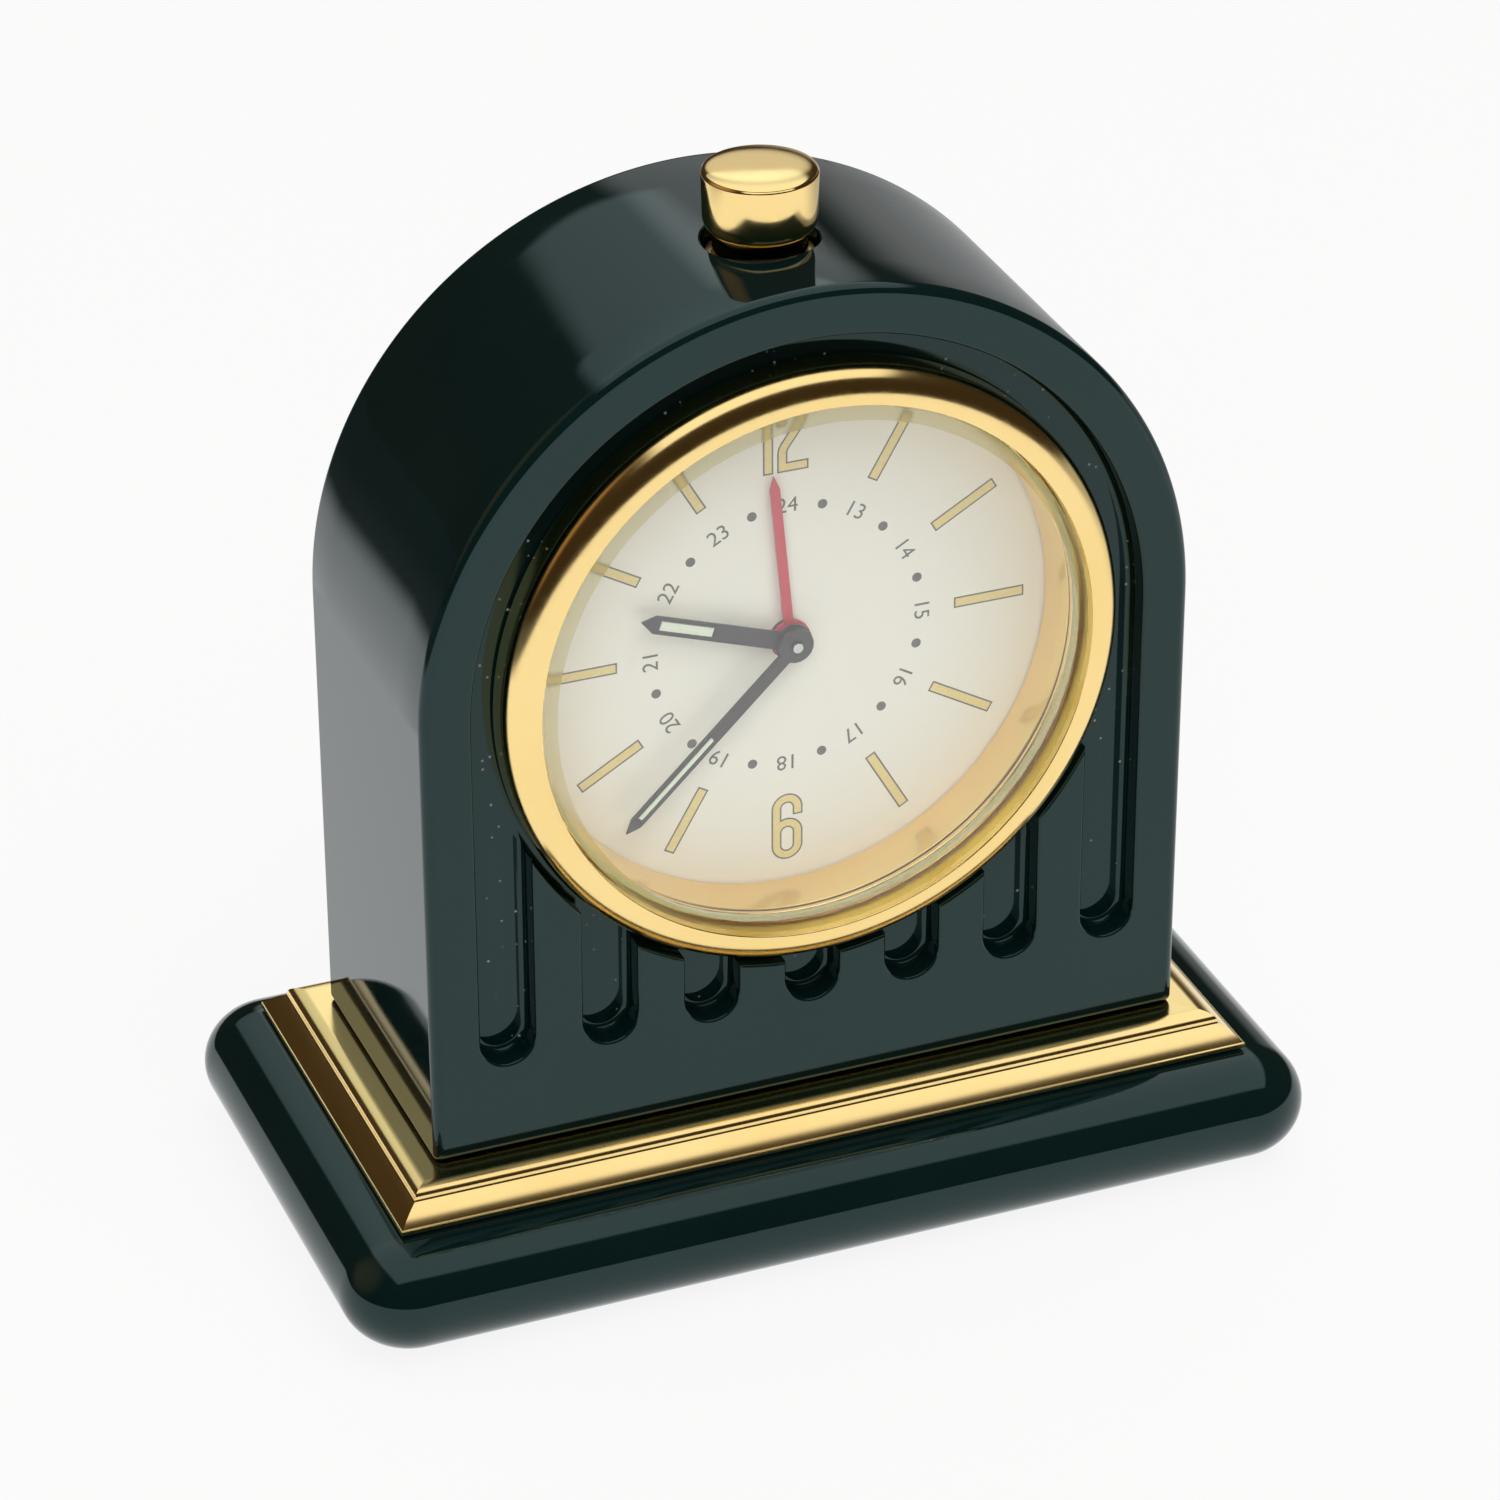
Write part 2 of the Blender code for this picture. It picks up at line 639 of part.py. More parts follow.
def recess_outline(inset):
    """Round recess with flutes hanging from it, drawn in from the full size by the inset."""
    half = FLUTE_WIDTH / 2 - inset
    last = (FLUTE_COUNT - 1) / 2
    radius = RECESS_RADIUS - inset
    land = LAND_RADIUS - inset
    floor_y = FLUTE_FOOT - CASE_SHOULDER + FLUTE_WIDTH / 2
    points = arc((0.0, 0.0), radius, radius, 0, 180, ARCH_STEPS)
    for number in range(FLUTE_COUNT):
        middle = (number - last) * FLUTE_PITCH
        points += arc((middle, floor_y), half, half, 180, 360, FLUTE_STEPS)
        if number < FLUTE_COUNT - 1:
            start = math.degrees(math.acos((middle + half) / land))
            end = math.degrees(math.acos((middle + FLUTE_PITCH - half) / land))
            points += arc((0.0, 0.0), land, land, -start, -end, LAND_STEPS)
    return points


def flute_cutter():
    sections = [(recess_outline(0.0), CUT_OVER)]
    floor = -FLUTE_DEPTH
    for across, height in arc((0.0, floor + FLUTE_COVE), FLUTE_COVE, FLUTE_COVE, 0, -90, COVE_STEPS):
        sections.append((recess_outline(FLUTE_COVE - across), height))
    return lofted(sections)


def cover_screw_places():
    """Middle of each post for the back cover's screws, two at the sides and two up the arch."""
    reach = CAVITY_RADIUS - POST_INSET
    places = [(reach, -COVER_SCREW_BELOW), (-reach, -COVER_SCREW_BELOW)]
    places += [polar(reach, COVER_SCREW_BEARING), polar(reach, 180 - COVER_SCREW_BEARING)]
    return places


def frame_screw_places():
    """Ears of the movement frame, beside the battery."""
    across = (CAVITY_RADIUS + BATTERY_TRAY_HALF + TRAY_WALL) / 2
    heights = (FRAME_EAR_RISE - BATTERY_BELOW, -FRAME_EAR_RISE - BATTERY_BELOW)
    return [(side * across, height) for height in heights for side in (-1, 1)]


def build_case():
    sections = []
    for across, back in arc((0.0, 0.0), CASE_EDGE, CASE_EDGE, 90, 0, EDGE_STEPS):
        inset = CASE_EDGE - across
        outline = arch(ARCH_RADIUS - inset, CASE_SHOULDER - inset)
        sections.append((outline, back - CASE_EDGE))
    for across, front in arc((0.0, 0.0), CASE_EDGE, CASE_EDGE, 0, -90, EDGE_STEPS):
        inset = CASE_EDGE - across
        outline = arch(ARCH_RADIUS - inset, CASE_SHOULDER - inset)
        sections.append((outline, front + CASE_EDGE - CASE_DEPTH))
    case = dial_piece("case_shell", lofted(sections), LACQUER)

    ledge = CASE_WALL - CASE_RIM
    cavity = sunk([
        (circle(SKIRT_RADIUS + SEAT_GAP, ROUND_STEPS), -CUT_OVER, CASE_FRONT),
        (arch(CAVITY_RADIUS, CAVITY_DROP), CASE_FRONT, COVER_SEAT),
        (arch(CAVITY_RADIUS + ledge, CAVITY_DROP + ledge), COVER_SEAT, CASE_DEPTH + CUT_OVER),
    ])
    cut(case, "cavity", cavity)
    cut(case, "flutes", flute_cutter())
    post_start = CASE_FRONT - POST_RADIUS / 2
    post_end = COVER_SEAT - SEAT_GAP
    screw_floor = COVER_SEAT - SMALL_SCREW_BITE - RUN
    for number, centre in enumerate(cover_screw_places()):
        spot = (*centre, 0.0)
        post = sunk([(circle(POST_RADIUS, SMALL_STEPS), post_start, post_end)])
        join(case, f"post_{number}", post, location=spot)
        hole = circle(SMALL_SCREW_HOLE, TINY_STEPS)
        cut(case, f"post_hole_{number}", sunk([(hole, screw_floor, CASE_DEPTH)]), location=spot)
    for number, centre in enumerate(frame_screw_places()):
        hole = circle(SMALL_SCREW_HOLE, TINY_STEPS)
        depth = CASE_FRONT - FRAME_SCREW_BITE - RUN
        cut(case, f"frame_hole_{number}", sunk([(hole, depth, CASE_FRONT + CUT_OVER)]),
            location=(*centre, 0.0))

    upright = (-math.pi / 2, 0.0, 0.0)
    opening = circle(BUTTON_HOLE_RADIUS, SMALL_STEPS)
    cut(case, "button_hole", stacked([(opening, CAVITY_RADIUS - CUT_OVER, ARCH_RADIUS + CUT_OVER)]),
        location=(0.0, 0.0, -BUTTON_DEPTH), rotation=upright)
    bore = circle(BASE_SCREW_RADIUS + SEAT_GAP, SMALL_STEPS)
    bore_top = BASE_SCREW_BITE + SEAT_GAP - CASE_SHOULDER
    for side, label in ((-1, "left"), (1, "right")):
        cut(case, f"base_hole_{label}", stacked([(bore, -CASE_SHOULDER - CUT_OVER, bore_top)]),
            location=(side * BASE_SCREW_SPREAD, 0.0, -CASE_DEPTH / 2), rotation=upright)


BUSH_BORE = SHANK_RADIUS + RUN
BUTTON_HOLE_RADIUS = BUSH_BORE + BUSH_WALL + SEAT_GAP


def build_front():
    foot = FLUTE_DEPTH - SEAT_GAP
    crest_radius = BEZEL_BORE + BEZEL_LIP_CHAMFER + BEZEL_FLAT
    shoulder = BEZEL_RADIUS - crest_radius
    rise = BEZEL_CREST + BEZEL_SHOULDER
    ledge_back = BEZEL_LEDGE_DEPTH + BEZEL_LEDGE_THICK
    skirt_inner = SKIRT_RADIUS - SKIRT_WALL
    profile = [(BEZEL_RADIUS, -foot)]
    profile += arc((crest_radius, -BEZEL_SHOULDER), shoulder, rise, 0, 90, CORNER_STEPS)
    profile += [
        (BEZEL_BORE + BEZEL_LIP_CHAMFER, BEZEL_CREST),
        (BEZEL_BORE, BEZEL_CREST - BEZEL_LIP_CHAMFER),
        (BEZEL_BORE, -BEZEL_LEDGE_DEPTH),
        (BEZEL_LEDGE, -BEZEL_LEDGE_DEPTH),
        (BEZEL_LEDGE, -ledge_back),
        (skirt_inner, -ledge_back),
        (skirt_inner, -SKIRT_DEPTH),
        (SKIRT_RADIUS, -SKIRT_DEPTH),
        (SKIRT_RADIUS, -foot),
    ]
    dial_piece("bezel", turned(profile, ROUND_STEPS), GILT)

    ring_inner = SKIRT_RADIUS + RUN
    ring = sunk([(circle(ring_inner + RING_WIDTH, ROUND_STEPS), CASE_FRONT + SEAT_GAP, SKIRT_DEPTH)],
                [circle(ring_inner, ROUND_STEPS)])
    dial_piece("bezel_ring_nut", ring, BRASS)

    glass_radius = BEZEL_BORE - SEAT_GAP
    glass_back = GLASS_FRONT - GLASS_THICK
    glass = [
        (0.0, GLASS_FRONT),
        (glass_radius - GLASS_BEVEL, GLASS_FRONT),
        (glass_radius, GLASS_FRONT - GLASS_BEVEL_DEPTH),
        (glass_radius, glass_back),
        (0.0, glass_back),
    ]
    dial_piece("crystal", turned(glass, ROUND_STEPS), GLASS)
    gasket_front = BEZEL_LEDGE_DEPTH - SEAT_GAP - GASKET_THICK
    gasket = sunk([(circle(glass_radius, ROUND_STEPS), gasket_front, gasket_front + GASKET_THICK)],
                  [circle(BEZEL_LEDGE, ROUND_STEPS)])
    dial_piece("crystal_gasket", gasket, GASKET)

    dial_radius = skirt_inner - SEAT_GAP
    ring_front = ledge_back + SEAT_GAP
    ring_back = DIAL_DEPTH - SEAT_GAP
    rehaut = [
        (dial_radius, -ring_front),
        (dial_radius, -ring_back),
        (DIAL_SIGHT, -ring_back),
        (BEZEL_LEDGE, -ring_front),
    ]
    dial_piece("dial_ring", turned(rehaut, ROUND_STEPS), GILT)
    dial = sunk([(circle(dial_radius, ROUND_STEPS), DIAL_DEPTH, DIAL_DEPTH + DIAL_THICK)],
                [circle(DIAL_HOLE, SMALL_STEPS)])
    dial_piece("dial", dial, IVORY)


def hand_outline(hub, width, length):
    """Round hub and a straight blade with a pointed tip, standing up from the hub."""
    half = width / 2
    start = math.degrees(math.acos(half / hub))
    points = [(half, length - HAND_POINT), (0.0, length), (-half, length - HAND_POINT)]
    return points + arc((0.0, 0.0), hub, hub, 180 - start, 360 + start, SMALL_STEPS)


def build_hand(name, material, depth, sizes, hole, degrees, lume=0.0):
    """A hand, and where it has one, its luminous insert of the given length."""
    hub, width, length = sizes
    holes = [circle(hole, SMALL_STEPS)]
    if lume:
        high = length - LUME_END
        low = high - lume
        half = width / 2 - LUME_MARGIN
        holes.append(rectangle(-half, half, low, high))
        inner = half - LUME_GAP
        insert = rectangle(-inner, inner, low + LUME_GAP, high - LUME_GAP)
        dial_piece(f"{name}_lume", sunk([(insert, depth, depth + HAND_THICK)]), LUME, (0.0, 0.0), degrees)
    body = sunk([(hand_outline(hub, width, length), depth, depth + HAND_THICK)], holes)
    dial_piece(name, body, material, (0.0, 0.0), degrees)


HOUR_PIPE_BORE = ARBOR_RADIUS + RUN
HOUR_PIPE = HOUR_PIPE_BORE + PIPE_WALL
ALARM_PIPE_BORE = HOUR_PIPE + RUN
ALARM_PIPE = ALARM_PIPE_BORE + PIPE_WALL


def build_hands():
    build_hand("alarm_hand", RED, ALARM_DEPTH, (ALARM_HUB, ALARM_WIDTH, ALARM_LENGTH),
               ALARM_PIPE + RUN, ALARM_ANGLE)
    build_hand("hour_hand", BLACK, HOUR_DEPTH, (HOUR_HUB, HOUR_WIDTH, HOUR_LENGTH),
               HOUR_PIPE + RUN, HOUR_ANGLE, HOUR_LUME)
    build_hand("minute_hand", BLACK, MINUTE_DEPTH, (MINUTE_HUB, MINUTE_WIDTH, MINUTE_LENGTH),
               ARBOR_RADIUS + RUN, MINUTE_ANGLE, MINUTE_LUME)


def gear(teeth, phase=0.0):
    """Outline of a toothed wheel, with one tooth's middle at the phase angle."""
    pitch = TAU / teeth
    radius = MODULE * teeth / 2
    root = radius - DEDENDUM * MODULE
    tip = radius + ADDENDUM * MODULE
    points = []
    for number in range(teeth):
        middle = phase + number * pitch
        for reach, share in ((root, -TOOTH_ROOT), (tip, -TOOTH_TIP), (tip, TOOTH_TIP), (root, TOOTH_ROOT)):
            angle = middle + share * pitch
            points.append((reach * math.cos(angle), reach * math.sin(angle)))
    return points


def spacing(teeth, other):
    return MODULE * (teeth + other) / 2


def mesh_phase(teeth, phase, bearing, other):
    """Phase of another wheel that puts its gap where this one's tooth meets it, at a bearing in degrees."""
    line = math.radians(bearing)
    slip = (phase - line) * teeth + math.pi
    return line + math.pi - slip / other


MINUTE_AXIS = polar(spacing(CANNON_TEETH, MINUTE_TEETH), MINUTE_WHEEL_BEARING)
ALARM_AXIS = polar(spacing(ALARM_TEETH, ALARM_PINION_TEETH), ALARM_SPINDLE_BEARING)
THIRD_AXIS = polar(spacing(CENTRE_TEETH, THIRD_PINION_TEETH), THIRD_BEARING)
INTERMEDIATE_AXIS = polar(spacing(THIRD_TEETH, INTERMEDIATE_PINION_TEETH), INTERMEDIATE_BEARING, THIRD_AXIS)
ROTOR_AXIS = polar(spacing(INTERMEDIATE_TEETH, ROTOR_TEETH), ROTOR_BEARING, INTERMEDIATE_AXIS)
PIVOT_FRONT = FRAME_FRONT + FRAME_THICK / 4
PIVOT_BACK = REAR_PLATE_BACK - REAR_PLATE_THICK / 4


def layer(outline, middle, thick):
    return (outline, middle - thick / 2, middle + thick / 2)


def arbor(*wheels, radius=PIVOT_RADIUS, front=PIVOT_FRONT, back=PIVOT_BACK, rear_radius=None):
    """Stack of wheels on one arbor, front to back, with the arbor showing between and beyond them."""
    rod = circle(radius, TINY_STEPS)
    levels = []
    reached = front
    for outline, near, far in wheels:
        levels.append((rod, reached, near))
        levels.append((outline, near, far))
        reached = far
    tail = circle(rear_radius or radius, TINY_STEPS)
    levels.append((tail, reached, back))
    return sunk(levels)


def build_motion_work():
    cannon = layer(gear(CANNON_TEETH), MINUTE_LAYER, PINION_THICK)
    dial_piece("centre_arbor", arbor(cannon, radius=ARBOR_RADIUS, front=ARBOR_TIP_DEPTH), BRASS)

    phase = mesh_phase(CANNON_TEETH, 0.0, MINUTE_WHEEL_BEARING, MINUTE_TEETH)
    pinion = layer(gear(MINUTE_PINION_TEETH), HOUR_LAYER, PINION_THICK)
    wheel = layer(gear(MINUTE_TEETH, phase), MINUTE_LAYER, WHEEL_THICK)
    spindle_end = CASE_DEPTH + SEAT_GAP + KNOB_HEIGHT
    spindle = arbor(pinion, wheel, back=spindle_end, rear_radius=SPINDLE_RADIUS)
    dial_piece("minute_wheel", spindle, BRASS, MINUTE_AXIS)

    phase = mesh_phase(MINUTE_PINION_TEETH, 0.0, MINUTE_WHEEL_BEARING - 180, HOUR_TEETH)
    pipe = circle(HOUR_PIPE, SMALL_STEPS)
    wheel = layer(gear(HOUR_TEETH, phase), HOUR_LAYER, WHEEL_THICK)
    hour = sunk([(pipe, HOUR_DEPTH, wheel[1]), wheel], [circle(HOUR_PIPE_BORE, SMALL_STEPS)])
    dial_piece("hour_wheel", hour, BRASS)

    pipe = circle(ALARM_PIPE, SMALL_STEPS)
    wheel = layer(gear(ALARM_TEETH), ALARM_LAYER, WHEEL_THICK)
    alarm = sunk([(pipe, ALARM_DEPTH, wheel[1]), wheel], [circle(ALARM_PIPE_BORE, SMALL_STEPS)])
    dial_piece("alarm_wheel", alarm, BRASS)
    phase = mesh_phase(ALARM_TEETH, 0.0, ALARM_SPINDLE_BEARING, ALARM_PINION_TEETH)
    pinion = layer(gear(ALARM_PINION_TEETH, phase), ALARM_LAYER, PINION_THICK)
    spindle = arbor(pinion, back=spindle_end, rear_radius=SPINDLE_RADIUS)
    dial_piece("alarm_spindle", spindle, BRASS, ALARM_AXIS)


def build_going_train():
    outline, near, far = layer(gear(CENTRE_TEETH), CENTRE_LAYER, WHEEL_THICK)
    centre = sunk([(outline, near, far)], [circle(ARBOR_RADIUS + RUN, TINY_STEPS)])
    dial_piece("centre_wheel", centre, BRASS)

    phase = mesh_phase(CENTRE_TEETH, 0.0, THIRD_BEARING, THIRD_PINION_TEETH)
    third = arbor(layer(gear(THIRD_PINION_TEETH, phase), CENTRE_LAYER, PINION_THICK),
                  layer(gear(THIRD_TEETH), THIRD_LAYER, WHEEL_THICK))
    dial_piece("third_wheel", third, BRASS, THIRD_AXIS)

    phase = mesh_phase(THIRD_TEETH, 0.0, INTERMEDIATE_BEARING, INTERMEDIATE_PINION_TEETH)
    between = arbor(layer(gear(INTERMEDIATE_PINION_TEETH, phase), THIRD_LAYER, PINION_THICK),
                    layer(gear(INTERMEDIATE_TEETH), INTERMEDIATE_LAYER, WHEEL_THICK))
    dial_piece("intermediate_wheel", between, BRASS, INTERMEDIATE_AXIS)

    phase = mesh_phase(INTERMEDIATE_TEETH, 0.0, ROTOR_BEARING, ROTOR_TEETH)
    magnet = layer(circle(MAGNET_RADIUS, SMALL_STEPS), STATOR_DEPTH + STATOR_THICK / 2, MAGNET_HEIGHT)
    pinion = layer(gear(ROTOR_TEETH, phase), INTERMEDIATE_LAYER, PINION_THICK)
    dial_piece("rotor", arbor(magnet, pinion), MAGNET, ROTOR_AXIS)


def build_motor():
    top = STATOR_BORE + STATOR_RIM
    left = -top
    limb = top - STATOR_ARM
    limb_right = top
    right = COIL_OFFSET + STATOR_ARM / 2
    lower_top = STATOR_ARM - COIL_BELOW
    outline = [
        (left, -top),
        (limb, -top),
        (limb, -COIL_BELOW),
        (right, -COIL_BELOW),
        (right, lower_top),
        (limb_right, lower_top),
        (limb_right, top - STATOR_ARM),
        (right, top - STATOR_ARM),
        (right, top),
        (left, top),
    ]
    stator = sunk([(outline, STATOR_DEPTH, STATOR_DEPTH + STATOR_THICK)], [circle(STATOR_BORE, SMALL_STEPS)])
    dial_piece("stator", stator, STEEL, ROTOR_AXIS)

    core_near = STATOR_DEPTH + STATOR_THICK + SEAT_GAP
    half = CORE_WIDTH / 2
    strip = rectangle(COIL_OFFSET - half, COIL_OFFSET + half, -COIL_BELOW, top)
    dial_piece("coil_core", sunk([(strip, core_near, core_near + CORE_THICK)]), STEEL, ROTOR_AXIS)

    low = lower_top + SEAT_GAP
    high = top - STATOR_ARM - SEAT_GAP
    slot_half = half + SEAT_GAP
    slot_deep = CORE_THICK / 2 + SEAT_GAP
    slot = rectangle(-slot_half, slot_half, -slot_deep, slot_deep)
    cheek = circle(BOBBIN_RADIUS, SMALL_STEPS)
    barrel = circle(BOBBIN_BARREL, SMALL_STEPS)
    bobbin = stacked([
        (cheek, low, low + BOBBIN_CHEEK),
        (barrel, low + BOBBIN_CHEEK, high - BOBBIN_CHEEK),
        (cheek, high - BOBBIN_CHEEK, high),
    ], [slot])
    upright = (-math.pi / 2, 0.0, 0.0)
    spot = (ROTOR_AXIS[0] + COIL_OFFSET, ROTOR_AXIS[1], -core_near - CORE_THICK / 2)
    place("coil_bobbin", bobbin, BLACK_PLASTIC, DIAL_AXIS, spot, upright)
    wound = circle(BOBBIN_RADIUS - SEAT_GAP, SMALL_STEPS)
    inside = circle(BOBBIN_BARREL + SEAT_GAP, SMALL_STEPS)
    winding_low = low + BOBBIN_CHEEK + SEAT_GAP
    winding_high = high - BOBBIN_CHEEK - SEAT_GAP
    winding = stacked([(wound, winding_low, winding_high)], [inside])
    place("coil_winding", winding, COPPER, DIAL_AXIS, spot, upright)


def build_frame():
    tray_half = BATTERY_TRAY_HALF + TRAY_WALL
    skirt_low = -TRAY_DROP
    tray_low = skirt_low + TRAY_WALL
    tray_high = -BATTERY_BELOW + BATTERY_RADIUS + SEAT_GAP
    ear = CAVITY_RADIUS - SEAT_GAP
    skirt_high = tray_high + TRAY_WALL
    rim_low = math.degrees(math.asin(skirt_high / FRAME_RADIUS))
    rim_high = math.degrees(math.asin(FRAME_TOP / FRAME_RADIUS))
    outline = [(-ear, skirt_low), (ear, skirt_low), (ear, skirt_high)]
    outline += arc((0.0, 0.0), FRAME_RADIUS, FRAME_RADIUS, rim_low, rim_high, FLUTE_STEPS)
    outline += arc((0.0, 0.0), FRAME_RADIUS, FRAME_RADIUS, 180 - rim_high, 180 - rim_low, FLUTE_STEPS)
    outline += [(-ear, skirt_high)]
    pivots = (MINUTE_AXIS, ALARM_AXIS, THIRD_AXIS, INTERMEDIATE_AXIS, ROTOR_AXIS)
    holes = [circle(ALARM_PIPE + RUN, SMALL_STEPS)]
    holes += [circle(PIVOT_RADIUS + RUN, TINY_STEPS, axis) for axis in pivots]
    frame = dial_piece("movement_frame", sunk([(outline, FRAME_FRONT, FRAME_BACK)], holes), CREAM_PLASTIC)

    overlap = FRAME_THICK / 2
    dial_back = DIAL_DEPTH + DIAL_THICK + SEAT_GAP
    seat = sunk([(circle(DIAL_SEAT_RADIUS, ARCH_STEPS), dial_back, FRAME_FRONT + overlap)],
                [circle(DIAL_SEAT_RADIUS - DIAL_SEAT_WIDTH, ARCH_STEPS)])
    join(frame, "dial_seat", seat)
    tray_back = FRAME_BACK + TRAY_DEPTH
    box = rectangle(-tray_half, tray_half, skirt_low, skirt_high)
    inner = rectangle(-BATTERY_TRAY_HALF, BATTERY_TRAY_HALF, tray_low, tray_high)
    join(frame, "tray", sunk([(box, FRAME_BACK - overlap, tray_back)], [inner]))
    foot_front = CASE_FRONT + SEAT_GAP
    foot_radius = ear - frame_screw_places()[1][0]
    for number, centre in enumerate(frame_screw_places()):
        spot = (*centre, 0.0)
        foot = sunk([(circle(foot_radius, SMALL_STEPS), foot_front, FRAME_FRONT + overlap)])
        join(frame, f"foot_{number}", foot, location=spot)
        hole = circle(SMALL_SCREW_HOLE, TINY_STEPS)
        cut(frame, f"foot_hole_{number}", sunk([(hole, CASE_FRONT, FRAME_BACK + CUT_OVER)]), location=spot)
        screw(f"frame_screw_{number + 1}", centre, CASE_FRONT - FRAME_SCREW_BITE, FRAME_BACK + SEAT_GAP)
    pillar_back = REAR_PLATE_FRONT - SEAT_GAP
    for number, centre in enumerate(PILLARS):
        spot = (*centre, 0.0)
        pillar = sunk([(circle(PILLAR_RADIUS, TINY_STEPS), FRAME_BACK - overlap, pillar_back)])
        join(frame, f"pillar_{number}", pillar, location=spot)
        hole = circle(SMALL_SCREW_HOLE, TINY_STEPS)
        tip = pillar_back - SMALL_SCREW_BITE
        cut(frame, f"pillar_hole_{number}", sunk([(hole, tip - RUN, pillar_back + CUT_OVER)]), location=spot)
        screw(f"plate_screw_{number + 1}", centre, tip, REAR_PLATE_BACK + SEAT_GAP)

    plate_low = skirt_high + SEAT_GAP
    low = math.degrees(math.asin(plate_low / REAR_PLATE_RADIUS))
    high = math.degrees(math.asin((FRAME_TOP - SEAT_GAP) / REAR_PLATE_RADIUS))
    outline = arc((0.0, 0.0), REAR_PLATE_RADIUS, REAR_PLATE_RADIUS, low, high, FLUTE_STEPS)
    outline += arc((0.0, 0.0), REAR_PLATE_RADIUS, REAR_PLATE_RADIUS, 180 - high, 180 - low, FLUTE_STEPS)
    holes = [circle(ARBOR_RADIUS + RUN, TINY_STEPS)]
    holes += [circle(PIVOT_RADIUS + RUN, TINY_STEPS, axis) for axis in pivots[2:]]
    holes += [circle(SPINDLE_RADIUS + RUN, TINY_STEPS, axis) for axis in pivots[:2]]
    holes += [circle(SMALL_SCREW_HOLE, TINY_STEPS, centre) for centre in PILLARS]
    plate = sunk([(outline, REAR_PLATE_FRONT, REAR_PLATE_BACK)], holes)
    dial_piece("movement_rear_plate", plate, CREAM_PLASTIC)


def build_circuit():
    board_back = REAR_PLATE_FRONT - SEAT_GAP
    board_front = board_back - BOARD_THICK
    board = rectangle(BOARD_LEFT, BOARD_RIGHT, BOARD_LOW, BOARD_HIGH)
    dial_piece("circuit_board", sunk([(board, board_front, board_back)]), BOARD)
    chip_back = board_front - SEAT_GAP
    chip = rectangle(-CHIP_HALF, CHIP_HALF, -CHIP_HALF, CHIP_HALF)
    dial_piece("timer_chip", sunk([(chip, chip_back - CHIP_THICK, chip_back)]), BLACK_PLASTIC, CHIP_PLACE)
    can = [
        (0.0, -CAN_HALF),
        (CAN_RADIUS, -CAN_HALF),
        (CAN_RADIUS, CAN_HALF - CAN_CHAMFER),
        (CAN_RADIUS - CAN_CHAMFER, CAN_HALF),
        (0.0, CAN_HALF),
    ]
    spot = (CAN_ACROSS, 0.0, CAN_RADIUS - chip_back)
    place("quartz_can", turned(can, SMALL_STEPS), STEEL, DIAL_AXIS, spot, (-math.pi / 2, 0.0, 0.0))

    near = FRAME_BACK + SEAT_GAP
    lid = near + SOUNDER_HEIGHT
    levels = (
        (circle(SOUNDER_RADIUS, SMALL_STEPS), near, lid),
        (circle(SOUNDER_CAP_RADIUS, SMALL_STEPS), lid, lid + SOUNDER_CAP),
    )
    dial_piece("alarm_sounder", sunk(levels), BLACK_PLASTIC, SOUNDER_CENTRE)


def build_battery():
    middle_depth = FRAME_BACK + SEAT_GAP + BATTERY_RADIUS
    low_end = CONTACT_SPACE - BATTERY_TRAY_HALF
    profile = [
        (0.0, 0.0),
        (BATTERY_RADIUS - BATTERY_SHOULDER, 0.0),
        (BATTERY_RADIUS, BATTERY_SHOULDER),
        (BATTERY_RADIUS, BATTERY_LENGTH - BATTERY_SHOULDER),
        (BATTERY_RADIUS - BATTERY_SHOULDER, BATTERY_LENGTH),
        (BATTERY_TIP_RADIUS, BATTERY_LENGTH),
        (BATTERY_TIP_RADIUS, BATTERY_LENGTH + BATTERY_TIP),
        (0.0, BATTERY_LENGTH + BATTERY_TIP),
    ]
    sideways = (0.0, math.pi / 2, 0.0)
    centre = (-BATTERY_BELOW, -middle_depth)
    place("battery", turned(profile, SMALL_STEPS), BATTERY, DIAL_AXIS, (low_end, *centre), sideways)

    spring_height = CONTACT_SPACE - 2 * SEAT_GAP - CONTACT_THICK
    cone = [
        (0.0, 0.0),
        (CONTACT_HALF, 0.0),
        (CONTACT_HALF, CONTACT_THICK),
        (CONTACT_CONE, CONTACT_THICK),
        (BATTERY_TIP_RADIUS, CONTACT_THICK + spring_height),
        (0.0, CONTACT_THICK + spring_height),
    ]
    spot = (SEAT_GAP - BATTERY_TRAY_HALF, *centre)
    place("battery_contact_sprung", turned(cone, SMALL_STEPS), STEEL, DIAL_AXIS, spot, sideways)
    outline = rectangle(-CONTACT_HALF, CONTACT_HALF, -CONTACT_HALF, CONTACT_HALF)
    flat = stacked([(outline, 0.0, CONTACT_THICK)])
    flat_at = BATTERY_TRAY_HALF - SEAT_GAP / 2 - CONTACT_THICK
    place("battery_contact_flat", flat, STEEL, DIAL_AXIS, (flat_at, *centre), sideways)


def knob_outline():
    points = []
    for number in range(KNOB_LOBES):
        for share, radius in ((0.0, KNOB_RADIUS), (0.5, KNOB_RADIUS), (0.75, KNOB_RADIUS - KNOB_GROOVE)):
            angle = TAU * (number + share) / KNOB_LOBES
            points.append((radius * math.cos(angle), radius * math.sin(angle)))
    return points


DOOR_AXIS_DEPTH = CASE_DEPTH - DOOR_THICK / 2
DOOR_AXIS_DROP = BATTERY_BELOW + BATTERY_RADIUS


